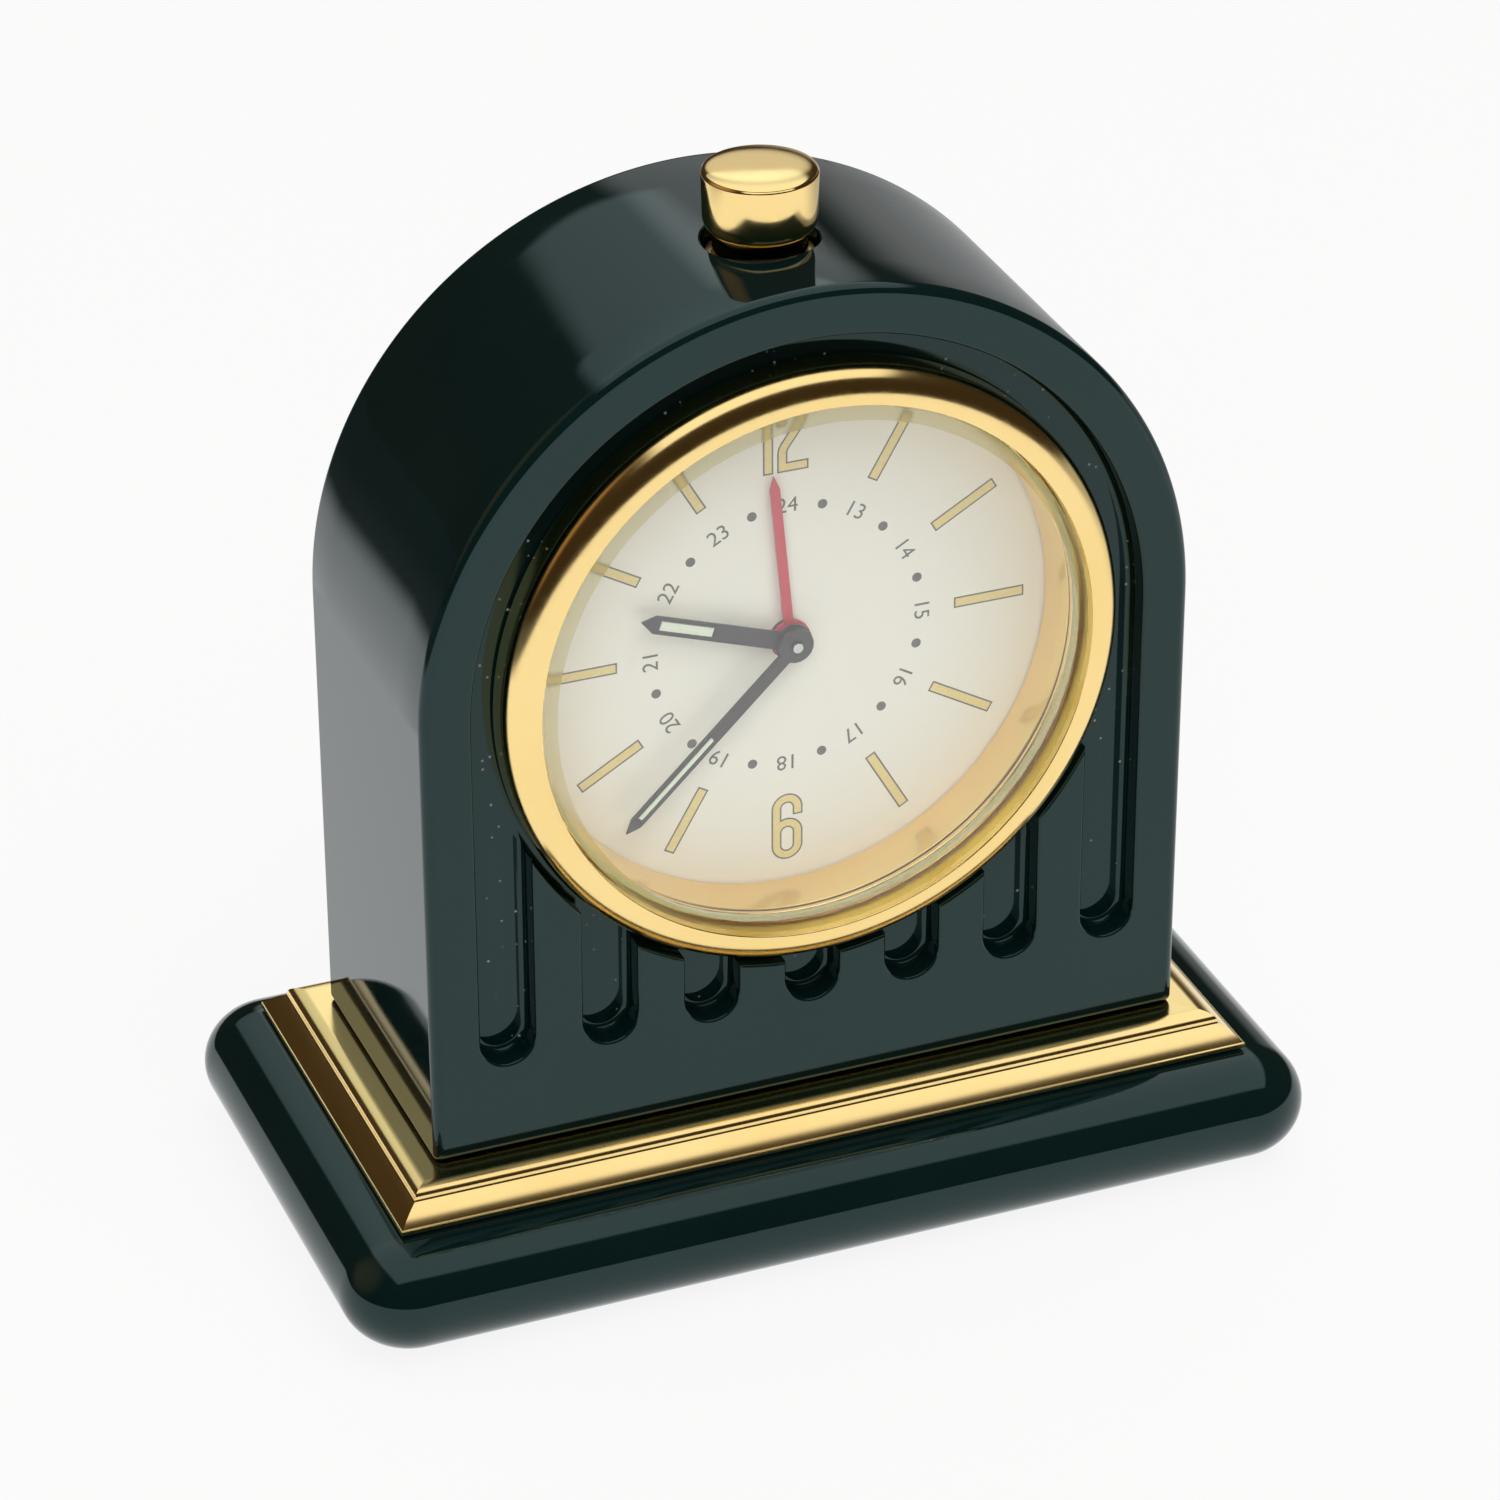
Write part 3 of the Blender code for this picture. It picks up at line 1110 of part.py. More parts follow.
def build_back():
    ledge = CASE_WALL - CASE_RIM - SEAT_GAP
    outline = arch(CAVITY_RADIUS + ledge, CAVITY_DROP + ledge)
    door_half = BATTERY_TRAY_HALF - SEAT_GAP
    door_top = BATTERY_RADIUS + DOOR_MARGIN - BATTERY_BELOW
    round_end = DOOR_THICK / 2
    notch = DOOR_PIN_RADIUS + SEAT_GAP
    side = door_half + SEAT_GAP
    notch_side = door_half + DOOR_PIN_LENGTH + SEAT_GAP
    foot = -DOOR_AXIS_DROP - round_end - SEAT_GAP
    opening = [
        (-side, foot),
        (side, foot),
        (side, -DOOR_AXIS_DROP - notch),
        (notch_side, -DOOR_AXIS_DROP - notch),
        (notch_side, notch - DOOR_AXIS_DROP),
        (side, notch - DOOR_AXIS_DROP),
        (side, door_top + SEAT_GAP),
        (-side, door_top + SEAT_GAP),
        (-side, notch - DOOR_AXIS_DROP),
        (-notch_side, notch - DOOR_AXIS_DROP),
        (-notch_side, -DOOR_AXIS_DROP - notch),
        (-side, -DOOR_AXIS_DROP - notch),
    ]
    holes = [opening]
    holes += [circle(SPINDLE_RADIUS + SEAT_GAP, TINY_STEPS, axis) for axis in (MINUTE_AXIS, ALARM_AXIS)]
    holes += [circle(SMALL_SCREW_HOLE, TINY_STEPS, centre) for centre in cover_screw_places()]
    holes.append(circle(SOUND_HOLE_RADIUS, TINY_STEPS, SOUNDER_CENTRE))
    for number in range(SOUND_HOLES):
        spot = polar(SOUND_HOLE_RING, 360 * number / SOUND_HOLES, SOUNDER_CENTRE)
        holes.append(circle(SOUND_HOLE_RADIUS, TINY_STEPS, spot))
    dial_piece("back_cover", sunk([(outline, COVER_FRONT, CASE_DEPTH)], holes), BLACK_PLASTIC)
    for number, centre in enumerate(cover_screw_places()):
        screw(f"cover_screw_{number + 1}", centre, COVER_SEAT - SMALL_SCREW_BITE, CASE_DEPTH + SEAT_GAP)

    # The door is drawn as (rise, towards the front) about its hinge pins' axis and runs along X.
    rise = DOOR_AXIS_DROP + door_top
    grip = DOOR_THICK / 2
    profile = [(0.0, round_end), (rise, round_end), (rise, -round_end), (rise - grip, -round_end - grip)]
    profile += [(rise - 2 * grip, -round_end - grip), (rise - 3 * grip, -round_end)]
    profile += arc((0.0, 0.0), round_end, round_end, 270, 90, FLUTE_STEPS)[:-1]
    pin = circle(DOOR_PIN_RADIUS, TINY_STEPS)
    door = stacked([
        (pin, -door_half - DOOR_PIN_LENGTH, -door_half),
        (profile, -door_half, door_half),
        (pin, door_half, door_half + DOOR_PIN_LENGTH),
    ])
    spot = (0.0, -DOOR_AXIS_DROP, -DOOR_AXIS_DEPTH)
    place("battery_door", door, BLACK_PLASTIC, DIAL_AXIS, spot, (math.pi / 2, 0.0, math.pi / 2))

    knob_near = CASE_DEPTH + SEAT_GAP
    for name, axis in (("time_set_knob", MINUTE_AXIS), ("alarm_set_knob", ALARM_AXIS)):
        bore = circle(SPINDLE_RADIUS + RUN, TINY_STEPS)
        dial_piece(name, sunk([(knob_outline(), knob_near, knob_near + KNOB_HEIGHT)], [bore]),
                   BLACK_PLASTIC, axis)


BUTTON_AXIS = empty("button_axis", (0.0, BUTTON_DEPTH - CASE_DEPTH / 2, CASE_TOP_Z))


def build_button():
    """Heights here are measured from the top of the arch, on the button's own axis."""
    rim = BUTTON_RIM_RISE
    head_foot = rim - BUTTON_HEAD_HEIGHT
    edge_drop = ARCH_RADIUS - math.sqrt(CAVITY_RADIUS ** 2 - BUSH_FLANGE ** 2)
    flange_top = -edge_drop - SEAT_GAP
    flange_foot = flange_top - BUSH_FLANGE_THICK
    bush_foot = flange_top - BUSH_DROP
    bush_floor = bush_foot + BUSH_FLOOR
    bush_top = -CASE_WALL / 2
    bush_outer = BUSH_BORE + BUSH_WALL
    stem_bore = STEM_RADIUS + RUN
    bush = [
        (stem_bore, bush_foot),
        (bush_outer, bush_foot),
        (bush_outer, flange_foot),
        (BUSH_FLANGE, flange_foot),
        (BUSH_FLANGE, flange_top),
        (bush_outer, flange_top),
        (bush_outer, bush_top),
        (BUSH_BORE, bush_top),
        (BUSH_BORE, bush_floor),
        (stem_bore, bush_floor),
    ]
    place("button_bush", turned(bush, SMALL_STEPS), BRASS, BUTTON_AXIS)

    spring_room = 2 * BUTTON_TRAVEL + 2 * SEAT_GAP + 2 * SPRING_WIRE
    shank_foot = bush_floor + spring_room
    clip_top = bush_foot - SEAT_GAP
    clip_foot = clip_top - CLIP_THICK
    stem_foot = clip_foot - STEM_END
    profile = [(0.0, stem_foot), (STEM_RADIUS, stem_foot), (STEM_RADIUS, shank_foot)]
    profile += [(SHANK_RADIUS, shank_foot), (SHANK_RADIUS, head_foot)]
    flare = BUTTON_RADIUS - BUTTON_FOOT_RADIUS
    profile += arc((BUTTON_FOOT_RADIUS, head_foot + BUTTON_ROUND), flare, BUTTON_ROUND, -90, 0, CORNER_STEPS)
    dome_radius = BUTTON_RADIUS - BUTTON_CHAMFER
    profile += [(BUTTON_RADIUS, rim - BUTTON_CHAMFER), (dome_radius, rim)]
    profile += arc((0.0, rim), dome_radius, BUTTON_DOME, 0, 90, CORNER_STEPS)[1:-1]
    profile += [(0.0, rim + BUTTON_DOME)]
    place("alarm_button", turned(profile, BUTTON_STEPS), GILT, BUTTON_AXIS)

    clip = stacked([(circle(stem_bore + CLIP_WIDTH, SMALL_STEPS), clip_foot, clip_top)],
                   [circle(stem_bore, SMALL_STEPS)])
    place("button_clip", clip, STEEL, BUTTON_AXIS)

    low = bush_floor + SEAT_GAP + SPRING_WIRE
    high = shank_foot - SEAT_GAP - SPRING_WIRE
    coil_radius = (STEM_RADIUS + SHANK_RADIUS) / 2
    build_spring("button_spring", coil_radius, low, high, BUTTON_AXIS)

    strike = stem_foot - BUTTON_TRAVEL - SEAT_GAP + ARCH_RADIUS
    build_switch(strike)


def build_spring(name, radius, low, high, parent):
    """One unbroken helix of round wire."""
    count = SPRING_TURNS * SPRING_STEPS
    curve = bpy.data.curves.new(name, 'CURVE')
    curve.dimensions = '3D'
    curve.bevel_depth = SPRING_WIRE
    curve.bevel_resolution = 1
    curve.use_fill_caps = True
    line = curve.splines.new('POLY')
    line.points.add(count)
    for k, point in enumerate(line.points):
        angle = TAU * k / SPRING_STEPS
        height = low + (high - low) * k / count
        point.co = (radius * math.cos(angle), radius * math.sin(angle), height, 1.0)
    curve.materials.append(STEEL)
    spring = bpy.data.objects.new(name, curve)
    bpy.context.collection.objects.link(spring)
    spring.parent = parent


def build_switch(strike):
    """Contact blade that the button's stem presses at the end of its travel."""
    leg_right = SWITCH_LEFT + CONTACT_THICK
    under = strike - CONTACT_THICK
    outline = [
        (SWITCH_LEFT, strike - SWITCH_LEG),
        (leg_right, strike - SWITCH_LEG),
        (leg_right, under),
        (SWITCH_RIGHT, under),
        (SWITCH_RIGHT, strike),
        (SWITCH_LEFT, strike),
    ]
    near = FRAME_BACK + SEAT_GAP
    dial_piece("alarm_switch_blade", sunk([(outline, near, BUTTON_DEPTH + STEM_RADIUS)]), STEEL)


build_plinth()
build_moulding()
build_case()
build_front()
build_hands()
build_motion_work()
build_going_train()
build_motor()
build_frame()
build_circuit()
build_battery()
build_back()
build_button()
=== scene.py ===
"""Looks of the round-arched desk alarm clock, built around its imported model.

Lengths are in metres. +X is to the right seen from the front, the dial faces -Y and +Z is up.
Depths are behind the front face of the case, and heights on the dial are above its centre.
"""
import math

import bmesh
import bpy
from mathutils import Matrix, Vector


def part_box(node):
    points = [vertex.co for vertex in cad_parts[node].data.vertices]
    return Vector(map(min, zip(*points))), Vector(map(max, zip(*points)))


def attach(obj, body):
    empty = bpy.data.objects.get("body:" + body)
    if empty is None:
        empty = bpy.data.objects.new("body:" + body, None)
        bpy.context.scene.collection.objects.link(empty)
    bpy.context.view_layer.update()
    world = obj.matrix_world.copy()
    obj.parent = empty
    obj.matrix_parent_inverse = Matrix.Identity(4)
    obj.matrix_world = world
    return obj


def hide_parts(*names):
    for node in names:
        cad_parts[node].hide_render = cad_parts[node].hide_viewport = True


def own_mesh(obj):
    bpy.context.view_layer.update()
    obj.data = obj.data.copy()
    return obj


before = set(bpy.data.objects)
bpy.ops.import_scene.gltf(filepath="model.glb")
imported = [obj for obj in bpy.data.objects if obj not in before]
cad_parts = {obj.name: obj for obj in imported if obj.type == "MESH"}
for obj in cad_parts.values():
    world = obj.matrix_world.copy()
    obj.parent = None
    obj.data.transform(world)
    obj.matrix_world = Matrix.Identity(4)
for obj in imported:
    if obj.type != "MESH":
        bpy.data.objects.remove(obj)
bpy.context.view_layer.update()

TAU = math.tau

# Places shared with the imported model
FRONT_Y = -0.0155
DIAL_Z = 0.0577
CASE_FOOT_Z = 0.0145
CASE_SEAT = 0.0002  # closes most of the gap under the case
CASE_DEPTH = 0.031
ARCH_RADIUS = 0.03637
CASE_SHOULDER = DIAL_Z - CASE_FOOT_Z + CASE_SEAT
CASE_TOP_Z = DIAL_Z + ARCH_RADIUS
GAP = 0.00025  # between pieces that rest on each other

# Case
CASE_EDGE = 0.001
CASE_CORNER = 0.0006  # rounding of the arch's two feet
CASE_FRONT = 0.0062  # thickness of the front wall
CAVITY_RADIUS = 0.03287
CAVITY_DROP = 0.0382
COVER_SEAT = 0.02865
REBATE_RADIUS = 0.03477
REBATE_DROP = 0.0401
RECESS_RADIUS = 0.03182
LAND_RADIUS = 0.03  # tops of the lands between flutes
FLUTE_COUNT = 7
FLUTE_WIDTH = 0.0052
FLUTE_PITCH = 0.00974
FLUTE_DEPTH = 0.00265
FLUTE_CENTRE = -0.03174  # height of the centres of the flutes' round feet
FLUTE_COVE = 0.0006
LIP = 0.00032  # softened edge of the recess and the flutes
HOLD = 0.0004  # keeps straight runs straight beside a curve
CASE_ROWS = 6  # strips along the depth of the case
BUTTON_HOLE = 0.00515
BUTTON_HOLE_LIP = 0.0003
BUTTON_HOLE_FLARE = 3 * BUTTON_HOLE_LIP
BUTTON_HOLE_TURN = 75  # degrees of the rim's round
BUTTON_HOLE_DEEP = 0.006

# Plinth and moulding
PLINTH_FOOT_Z = 0.0003
PLINTH_HEIGHT = 0.0106
PLINTH_REACH = 0.0058
PLINTH_CORNER = 0.0065
PLINTH_HALF = (0.04727, 0.0264)
FELT_HALF = (0.03847, 0.0176)
FELT_CORNER = 0.0037
FELT_EDGE = 0.0003
FELT_THICK = 0.0012
FELT_ROWS = (0.9, 0.75, 0.55, 0.3)
FELT_WAVE = 0.00003
FELT_WAVES = (400, 650, 3)  # across, along, and the shift from row to row
MOULDING_FOOT_Z = 0.01115
MOULDING_HALF = (ARCH_RADIUS, CASE_DEPTH / 2)
MOULDING_HEIGHT = 0.0031
MOULDING_REACH = 0.0051
MOULDING_RAIL = 0.009
MOULDING_SHELF = 0.0016
MOULDING_NOSE = 0.0015
MOULDING_NOSE_DROP = 0.0008
MOULDING_COVE = 0.00038
MOULDING_QUIRK = 0.0001
MOULDING_FILLET = 0.0005
MOULDING_BULGE = 0.0001  # swelling of the slope
MOULDING_EASE = 0.00012

# Bezel, glass and dial
SKIRT_RADIUS = 0.02735
SKIRT_INNER = 0.02645
SKIRT_DEPTH = 0.0073
BEZEL_RADIUS = 0.0291
BEZEL_CREST = 0.0019
BEZEL_ROUND = 0.0028
BEZEL_SHOULDER = 0.00045
BEZEL_BORE = 0.026
BEZEL_LEDGE = 0.0253
BEZEL_EASE = 0.0002
LEDGE_FRONT = 0.0013
LEDGE_BACK = 0.0018
GLASS_FRONT = 0.00178
GLASS_THICK = 0.00208
GLASS_BEVEL = 0.00115
GLASS_BEVEL_DEPTH = 0.0003
GLASS_EASE = 0.00008
RING_EASE = 0.0001
DIAL_DEPTH = 0.00645
DIAL_THICK = 0.0006
DIAL_RADIUS = SKIRT_INNER - GAP
DIAL_SIGHT = 0.0249
DIAL_HOLE = 0.0017

# Print on the dial
PRINT_RISE = 0.00001
PRINT_LINE = 0.00015
BATON_FROM = 0.0161
BATON_TO = 0.0229
BATON_HALF = 0.00054
NUMERAL_HALF = 0.00048
NUMERAL_LOW = 0.01625
NUMERAL_HIGH = 0.02305
ONE_ACROSS = -0.0018
TWO_LEFT = -0.00095
TWO_RIGHT = 0.002
TWO_HOOK = 0.001  # straight end of the top
TWO_TURN = -32  # degrees at which the top's round ends
TWO_BEND = 0.0014  # radius above the foot
TWO_BEND_RISE = 0.0013
TWO_BEND_FROM = 142
SIX_RADIUS = 0.00103
SIX_HOOK = 0.00078
SIX_BOWL = 0.00125  # centre of the bowl above that of the lower round
SMALL_RING = 0.0129
SMALL_SIZE = 0.0021
SMALL_DOT = 0.00046

# Button
BUTTON_Y = -0.0029
BUTTON_RADIUS = 0.00515
BUTTON_RIM_RISE = 0.00608
BUTTON_DRUM = 0.004  # straight side under the rim
BUTTON_DOME = 0.0005
BUTTON_ROUND = 0.0015
BUTTON_TAPER = 0.0001  # the drum's lower end is this much smaller
BUTTON_RIM = 0.00015
BUTTON_EASE = 0.00012
SHANK_RADIUS = 0.0042
STEM_RADIUS = 0.0014
SPRING_TURNS = 4
SPRING_WIRE = 0.00025
SPRING_STEPS = 24  # per turn

# Back
COVER_RADIUS = 0.03452
COVER_DROP = 0.03985
COVER_FRONT = 0.0289
COVER_EDGE = 0.0003
KNOB_AXES = {"time": (-0.008, 0.0), "alarm": (0.009, 0.0)}
KNOB_RADIUS = 0.0055
KNOB_HEIGHT = 0.0042
KNOB_LOBES = 14
KNOB_GROOVE = 0.0004
KNOB_BORE = 0.0009
KNOB_ROUND = 0.0007
KNOB_EDGE = 0.0003
# Radius and depth of the knob's dished face
KNOB_FACE = ((0.0044, 0.0), (0.0040, 0.0002), (0.0036, 0.0004), (0.0018, 0.0004), (0.0016, 0.0001),
             (KNOB_BORE, 0.0001))
SPINDLE_HOLE = 0.00105
COLLAR_RADIUS = 0.0063
COLLAR_HALF = 0.00035
SOUNDER_AT = (-0.0193, -0.0108)
SOUND_HOLE = 0.0008
SOUND_RING = 0.0042
SOUND_HOLES = 6
SCREW_REACH = 0.03197
SCREW_BELOW = -0.013
SCREW_RADIUS = 0.0008
SCREW_HEAD = 0.0015
SCREW_HEAD_HEIGHT = 0.001
SCREW_SIDE = 0.45 * SCREW_HEAD_HEIGHT
SCREW_TIP = 0.02515
SLOT_LONG = 0.62 * SCREW_HEAD
SLOT_WIDE = 0.17 * SCREW_HEAD
SLOT_TURN = 0.35  # the first slot's turn, and each next one's
SLOT_TURN_STEP = 0.9
DOOR_HALF = 0.027
DOOR_AXIS_DEPTH = 0.03015
DOOR_AXIS_DROP = 0.03585
DOOR_RISE = 0.0151
DOOR_THICK = 0.0017
DOOR_PIN = 0.0005
DOOR_PIN_LENGTH = 0.0009
DOOR_EDGE = 0.0002
DOOR_RIDGE = 0.0002
DOOR_RIDGES = 4
DOOR_RIDGE_FROM = 4.2  # in halves of the door's thickness
DOOR_RIDGE_PITCH = 5  # in radii of a ridge

# Facets
ROUND_STEPS = 192
ARCH_STEPS = 120
FLUTE_STEPS = 24
LAND_STEPS = 6
EDGE_STEPS = 8
CORNER_STEPS = 14
BULL_STEPS = 32
EASE_STEPS = 4
BEZEL_STEPS = 20
NUMERAL_STEPS = 24
TWO_STEPS = 26
TWO_BEND_STEPS = 6
DOT_STEPS = 20
BUTTON_STEPS = 96
DOME_STEPS = 24
WIRE_STEPS = 8
HOLE_STEPS = 32
COLLAR_STEPS = 96
SCREW_STEPS = 48
LOBE_STEPS = 14
RIDGE_STEPS = 6
EASE_TURN = 0.35  # smaller turns than this count as part of a curve
EASE_SHARE = 0.45  # most of a side that a rounded corner may take
MITRE_LEAST = 0.3
# Faces that meet within these angles are shaded as one
SMOOTH = 32.0
SMOOTH_GLASS = 20.0
SMOOTH_PRINT = 5.0
FLAT = 0.999999  # a normal this near an axis belongs to a flat face

# Camera, as fitted to the photograph's frame of 1500 by 1500
CAMERA_AT = (-0.16911, -0.42570, 0.30363)
CAMERA_YAW = 0.37828
CAMERA_PITCH = 0.52042
CAMERA_ROLL = -0.00299
FOCAL_PIXELS = 5782.9
FRAME_PIXELS = 1500
SENSOR_MM = 36.0

# Floor: the share of its own glow that the camera sees, and how its glow in reflections ends
FLOOR_REACH = 12.0
FLOOR_COLOUR = (0.88, 0.88, 0.88, 1.0)
FLOOR_GLOW = 0.88
FLOOR_FADE = (-0.85, 0.53, 0.0)  # it ends this way
FLOOR_WHITE = 0.20
FLOOR_END = 0.30
FLOOR_FAR = 0.10
FLOOR_SIDE = (0.56, 0.83, 0.0)  # and is half as bright this way
FLOOR_SIDE_FROM = 0.03
FLOOR_SIDE_TO = 0.24
FLOOR_SIDE_BRIGHT = 0.45

# Light
WHITE = (1.0, 1.0, 1.0)
EVEN = (1.0, 1.0, 1.0)  # a grain that is the same along all axes
DIM = (0.040, 0.028, 0.016)  # the room beyond the lights
HORIZON = 0.001  # least rise of a direction that meets the card
# Ceiling card, by its sides' slopes across and along, and the softness of its edges
CARD_ACROSS = (-0.53, 0.80)
CARD_ALONG = (-0.60, 1.70)
CARD_SOFT = 0.14
CARD_BRIGHT = 1.05
CARD_FAR = 0.55  # share of its brightness at the far end
CARD_FAR_COLOUR = (0.86, 0.98, 1.0)
CARD_FAR_FROM = CARD_ALONG[1] / 2
CARD_TINT_TO = CARD_ALONG[1] * 0.8
# Small soft boxes: direction, edge and heart of the glow in degrees, and strength
SOFT_BOXES = (
    ((0.30, 0.86, 0.42), 13.0, 7.0, 0.65),
    ((0.56, 0.83, 0.0), 17.0, 3.0, 0.42),
)
# One warm glow at the left, which the bezel's shoulder shows
WARM_BOXES = (((-0.80, 0.28, 0.50), 34.0, 2.0, 0.36),)
WARM_COLOUR = (1.0, 0.60, 0.27)
# Fill lamps, which reflections don't show: place, side in metres and watts
FILL_LAMPS = (
    ((-0.50, -1.00, 0.80), 0.8, 4.6),
    ((0.30, -0.70, 1.10), 0.8, 4.0),
)


# Outlines

def arc(centre, across, along, start, end, steps):
    """Points of an elliptic arc, with angles in degrees."""
    points = []
    for k in range(steps + 1):
        angle = math.radians(start + (end - start) * k / steps)
        points.append((centre[0] + across * math.cos(angle), centre[1] + along * math.sin(angle)))
    return points


def quarter(size, start, end):
    """Points of a rounded edge."""
    return arc((0.0, 0.0), size, size, start, end, EDGE_STEPS)


def circle(radius, steps, centre=(0.0, 0.0)):
    return arc(centre, radius, radius, 0, 360, steps)[:-1]


def arch(radius, drop):
    """Straight sides under a half circle, from the right foot round to the left one."""
    low = CASE_CORNER - drop
    across = radius - CASE_CORNER
    right = arc((across, low), CASE_CORNER, CASE_CORNER, -90, 0, EDGE_STEPS)
    left = arc((-across, low), CASE_CORNER, CASE_CORNER, 180, 270, EDGE_STEPS)
    return right + arc((0.0, 0.0), radius, radius, 0, 180, ARCH_STEPS) + left


def rounded_rectangle(half, radius, inset=0.0):
    """Anticlockwise from the right, with a point that holds each straight side beside its corners."""
    radius -= inset
    points = []
    for number, (side_x, side_y) in enumerate(((1, 1), (-1, 1), (-1, -1), (1, -1))):
        centre = (side_x * (half[0] - inset - radius), side_y * (half[1] - inset - radius))
        turn = arc(centre, radius, radius, 90 * number, 90 * number + 90, CORNER_STEPS)
        angle = number * TAU / 4
        into = Vector((-math.sin(angle), math.cos(angle))) * HOLD
        out = Vector((-math.cos(angle), -math.sin(angle))) * HOLD
        points.append((turn[0][0] - into.x, turn[0][1] - into.y))
        points += turn
        points.append((turn[-1][0] + out.x, turn[-1][1] + out.y))
    return points


def eased(points, size, closed=True):
    """Rounds each real corner of a profile by about the given size."""
    count = len(points)
    made = []
    for k, point in enumerate(points):
        here = Vector(point)
        if not closed and k in (0, count - 1):
            made.append(point)
            continue
        before = Vector(points[k - 1]) - here
        after = Vector(points[(k + 1) % count]) - here
        turn = math.pi - before.angle(after)
        if turn < EASE_TURN:
            made.append(point)
            continue
        reach = min(size, EASE_SHARE * before.length, EASE_SHARE * after.length)
        start = here + before.normalized() * reach
        end = here + after.normalized() * reach
        for step in range(EASE_STEPS + 1):
            t = step / EASE_STEPS
            spot = start * (1 - t) ** 2 + here * (2 * t * (1 - t)) + end * t ** 2
            made.append((spot.x, spot.y))
    return made


def recess_outline(inset):
    """Round recess with flutes hanging from it, drawn in from the full size by the inset."""
    half = FLUTE_WIDTH / 2 - inset
    radius = RECESS_RADIUS - inset
    land = LAND_RADIUS - inset
    last = (FLUTE_COUNT - 1) / 2
    points = arc((0.0, 0.0), radius, radius, 0, 180, ARCH_STEPS)
    for number in range(FLUTE_COUNT):
        middle = (number - last) * FLUTE_PITCH
        for side in (-1, 1):
            edge = middle + side * half
            top = -math.sqrt(max(land ** 2 - edge ** 2, 0.0))
            hold = (edge, FLUTE_CENTRE + min(HOLD, (top - FLUTE_CENTRE) / 2))
            points.append(hold)
            if side < 0:
                points += arc((middle, FLUTE_CENTRE), half, half, 180, 360, FLUTE_STEPS)
        if number < FLUTE_COUNT - 1:
            start = math.degrees(math.acos((middle + half) / land))
            end = math.degrees(math.acos((middle + FLUTE_PITCH - half) / land))
            points += arc((0.0, 0.0), land, land, -start, -end, LAND_STEPS)
    return points


# Meshes

def on_dial(x, y, depth):
    return (x, FRONT_Y + depth, DIAL_Z + y)


def above_case(x, y, height):
    return (x, BUTTON_Y + y, CASE_TOP_Z + height)


def level(x, y, height):
    return (x, y, height)


def ring(bm, outline, third, at=on_dial):
    return [bm.verts.new(at(x, y, third)) for x, y in outline]


def bridge(bm, low, high):
    """Joins two rings of the same count, or a ring and a single point."""
    count = max(len(low), len(high))
    for k in range(count):
        n = (k + 1) % count
        if len(high) == 1:
            bm.faces.new((low[k], low[n], high[0]))
        elif len(low) == 1:
            bm.faces.new((low[0], high[n], high[k]))
        else:
            bm.faces.new((low[k], low[n], high[n], high[k]))


def span(bm, *rings):
    """Fills the flat area between closed rings."""
    edges = []
    for loop in rings:
        for k, vert in enumerate(loop):
            pair = (vert, loop[(k + 1) % len(loop)])
            edges.append(bm.edges.get(pair) or bm.edges.new(pair))
    bmesh.ops.triangle_fill(bm, use_beauty=True, use_dissolve=False, edges=edges)


def loft(bm, rings, closed=False, capped=False):
    """Skin over a row of rings, which may run round to the first one or have its ends filled."""
    for k in range(len(rings) - 1):
        bridge(bm, rings[k], rings[k + 1])
    if closed:
        bridge(bm, rings[-1], rings[0])
    if capped:
        bm.faces.new(rings[0])
        bm.faces.new(rings[-1])


def turned(profile, steps, at, closed=False, bm=None):
    """Body of revolution from (radius, third coordinate) pairs; a radius of nothing is a point."""
    bm = bm or bmesh.new()
    rings = []
    for radius, third in profile:
        outline = circle(radius, steps) if radius > 0 else [(0.0, 0.0)]
        rings.append(ring(bm, outline, third, at))
    loft(bm, rings, closed)
    return bm


def smooth_normals(mesh, limit, group):
    """Lets curved faces run smoothly into each other while flat faces stay flat."""
    normals = [polygon.normal.copy() for polygon in mesh.polygons]
    flat = [max(abs(n.x), abs(n.y), abs(n.z)) > FLAT for n in normals]
    groups = [group(polygon.center) if group else 0 for polygon in mesh.polygons]
    around = [[] for _ in mesh.vertices]
    for polygon in mesh.polygons:
        corners = [mesh.vertices[v].co for v in polygon.vertices]
        count = len(corners)
        for k, v in enumerate(polygon.vertices):
            before = corners[k - 1] - corners[k]
            after = corners[(k + 1) % count] - corners[k]
            angle = before.angle(after, 0.0)
            around[v].append((polygon.index, angle))
    least = math.cos(math.radians(limit))
    made = [None] * len(mesh.loops)
    for polygon in mesh.polygons:
        own = normals[polygon.index]
        for loop in polygon.loop_indices:
            if flat[polygon.index]:
                made[loop] = own
                continue
            total = Vector()
            for other, angle in around[mesh.loops[loop].vertex_index]:
                if groups[other] != groups[polygon.index] or normals[other].dot(own) < least:
                    continue
                if flat[other]:
                    total = normals[other].copy()
                    break
                total += normals[other] * angle
            made[loop] = total.normalized() if total.length > 0 else own
    mesh.polygons.foreach_set("use_smooth", [True] * len(mesh.polygons))
    mesh.normals_split_custom_set(made)


def add(name, data):
    """A new object in the scene."""
    made = bpy.data.objects.new(name, data)
    bpy.context.scene.collection.objects.link(made)
    return made


def new_object(name, bm):
    bmesh.ops.recalc_face_normals(bm, faces=bm.faces)
    mesh = bpy.data.meshes.new(name)
    bm.to_mesh(mesh)
    bm.free()
    return add(name, mesh)


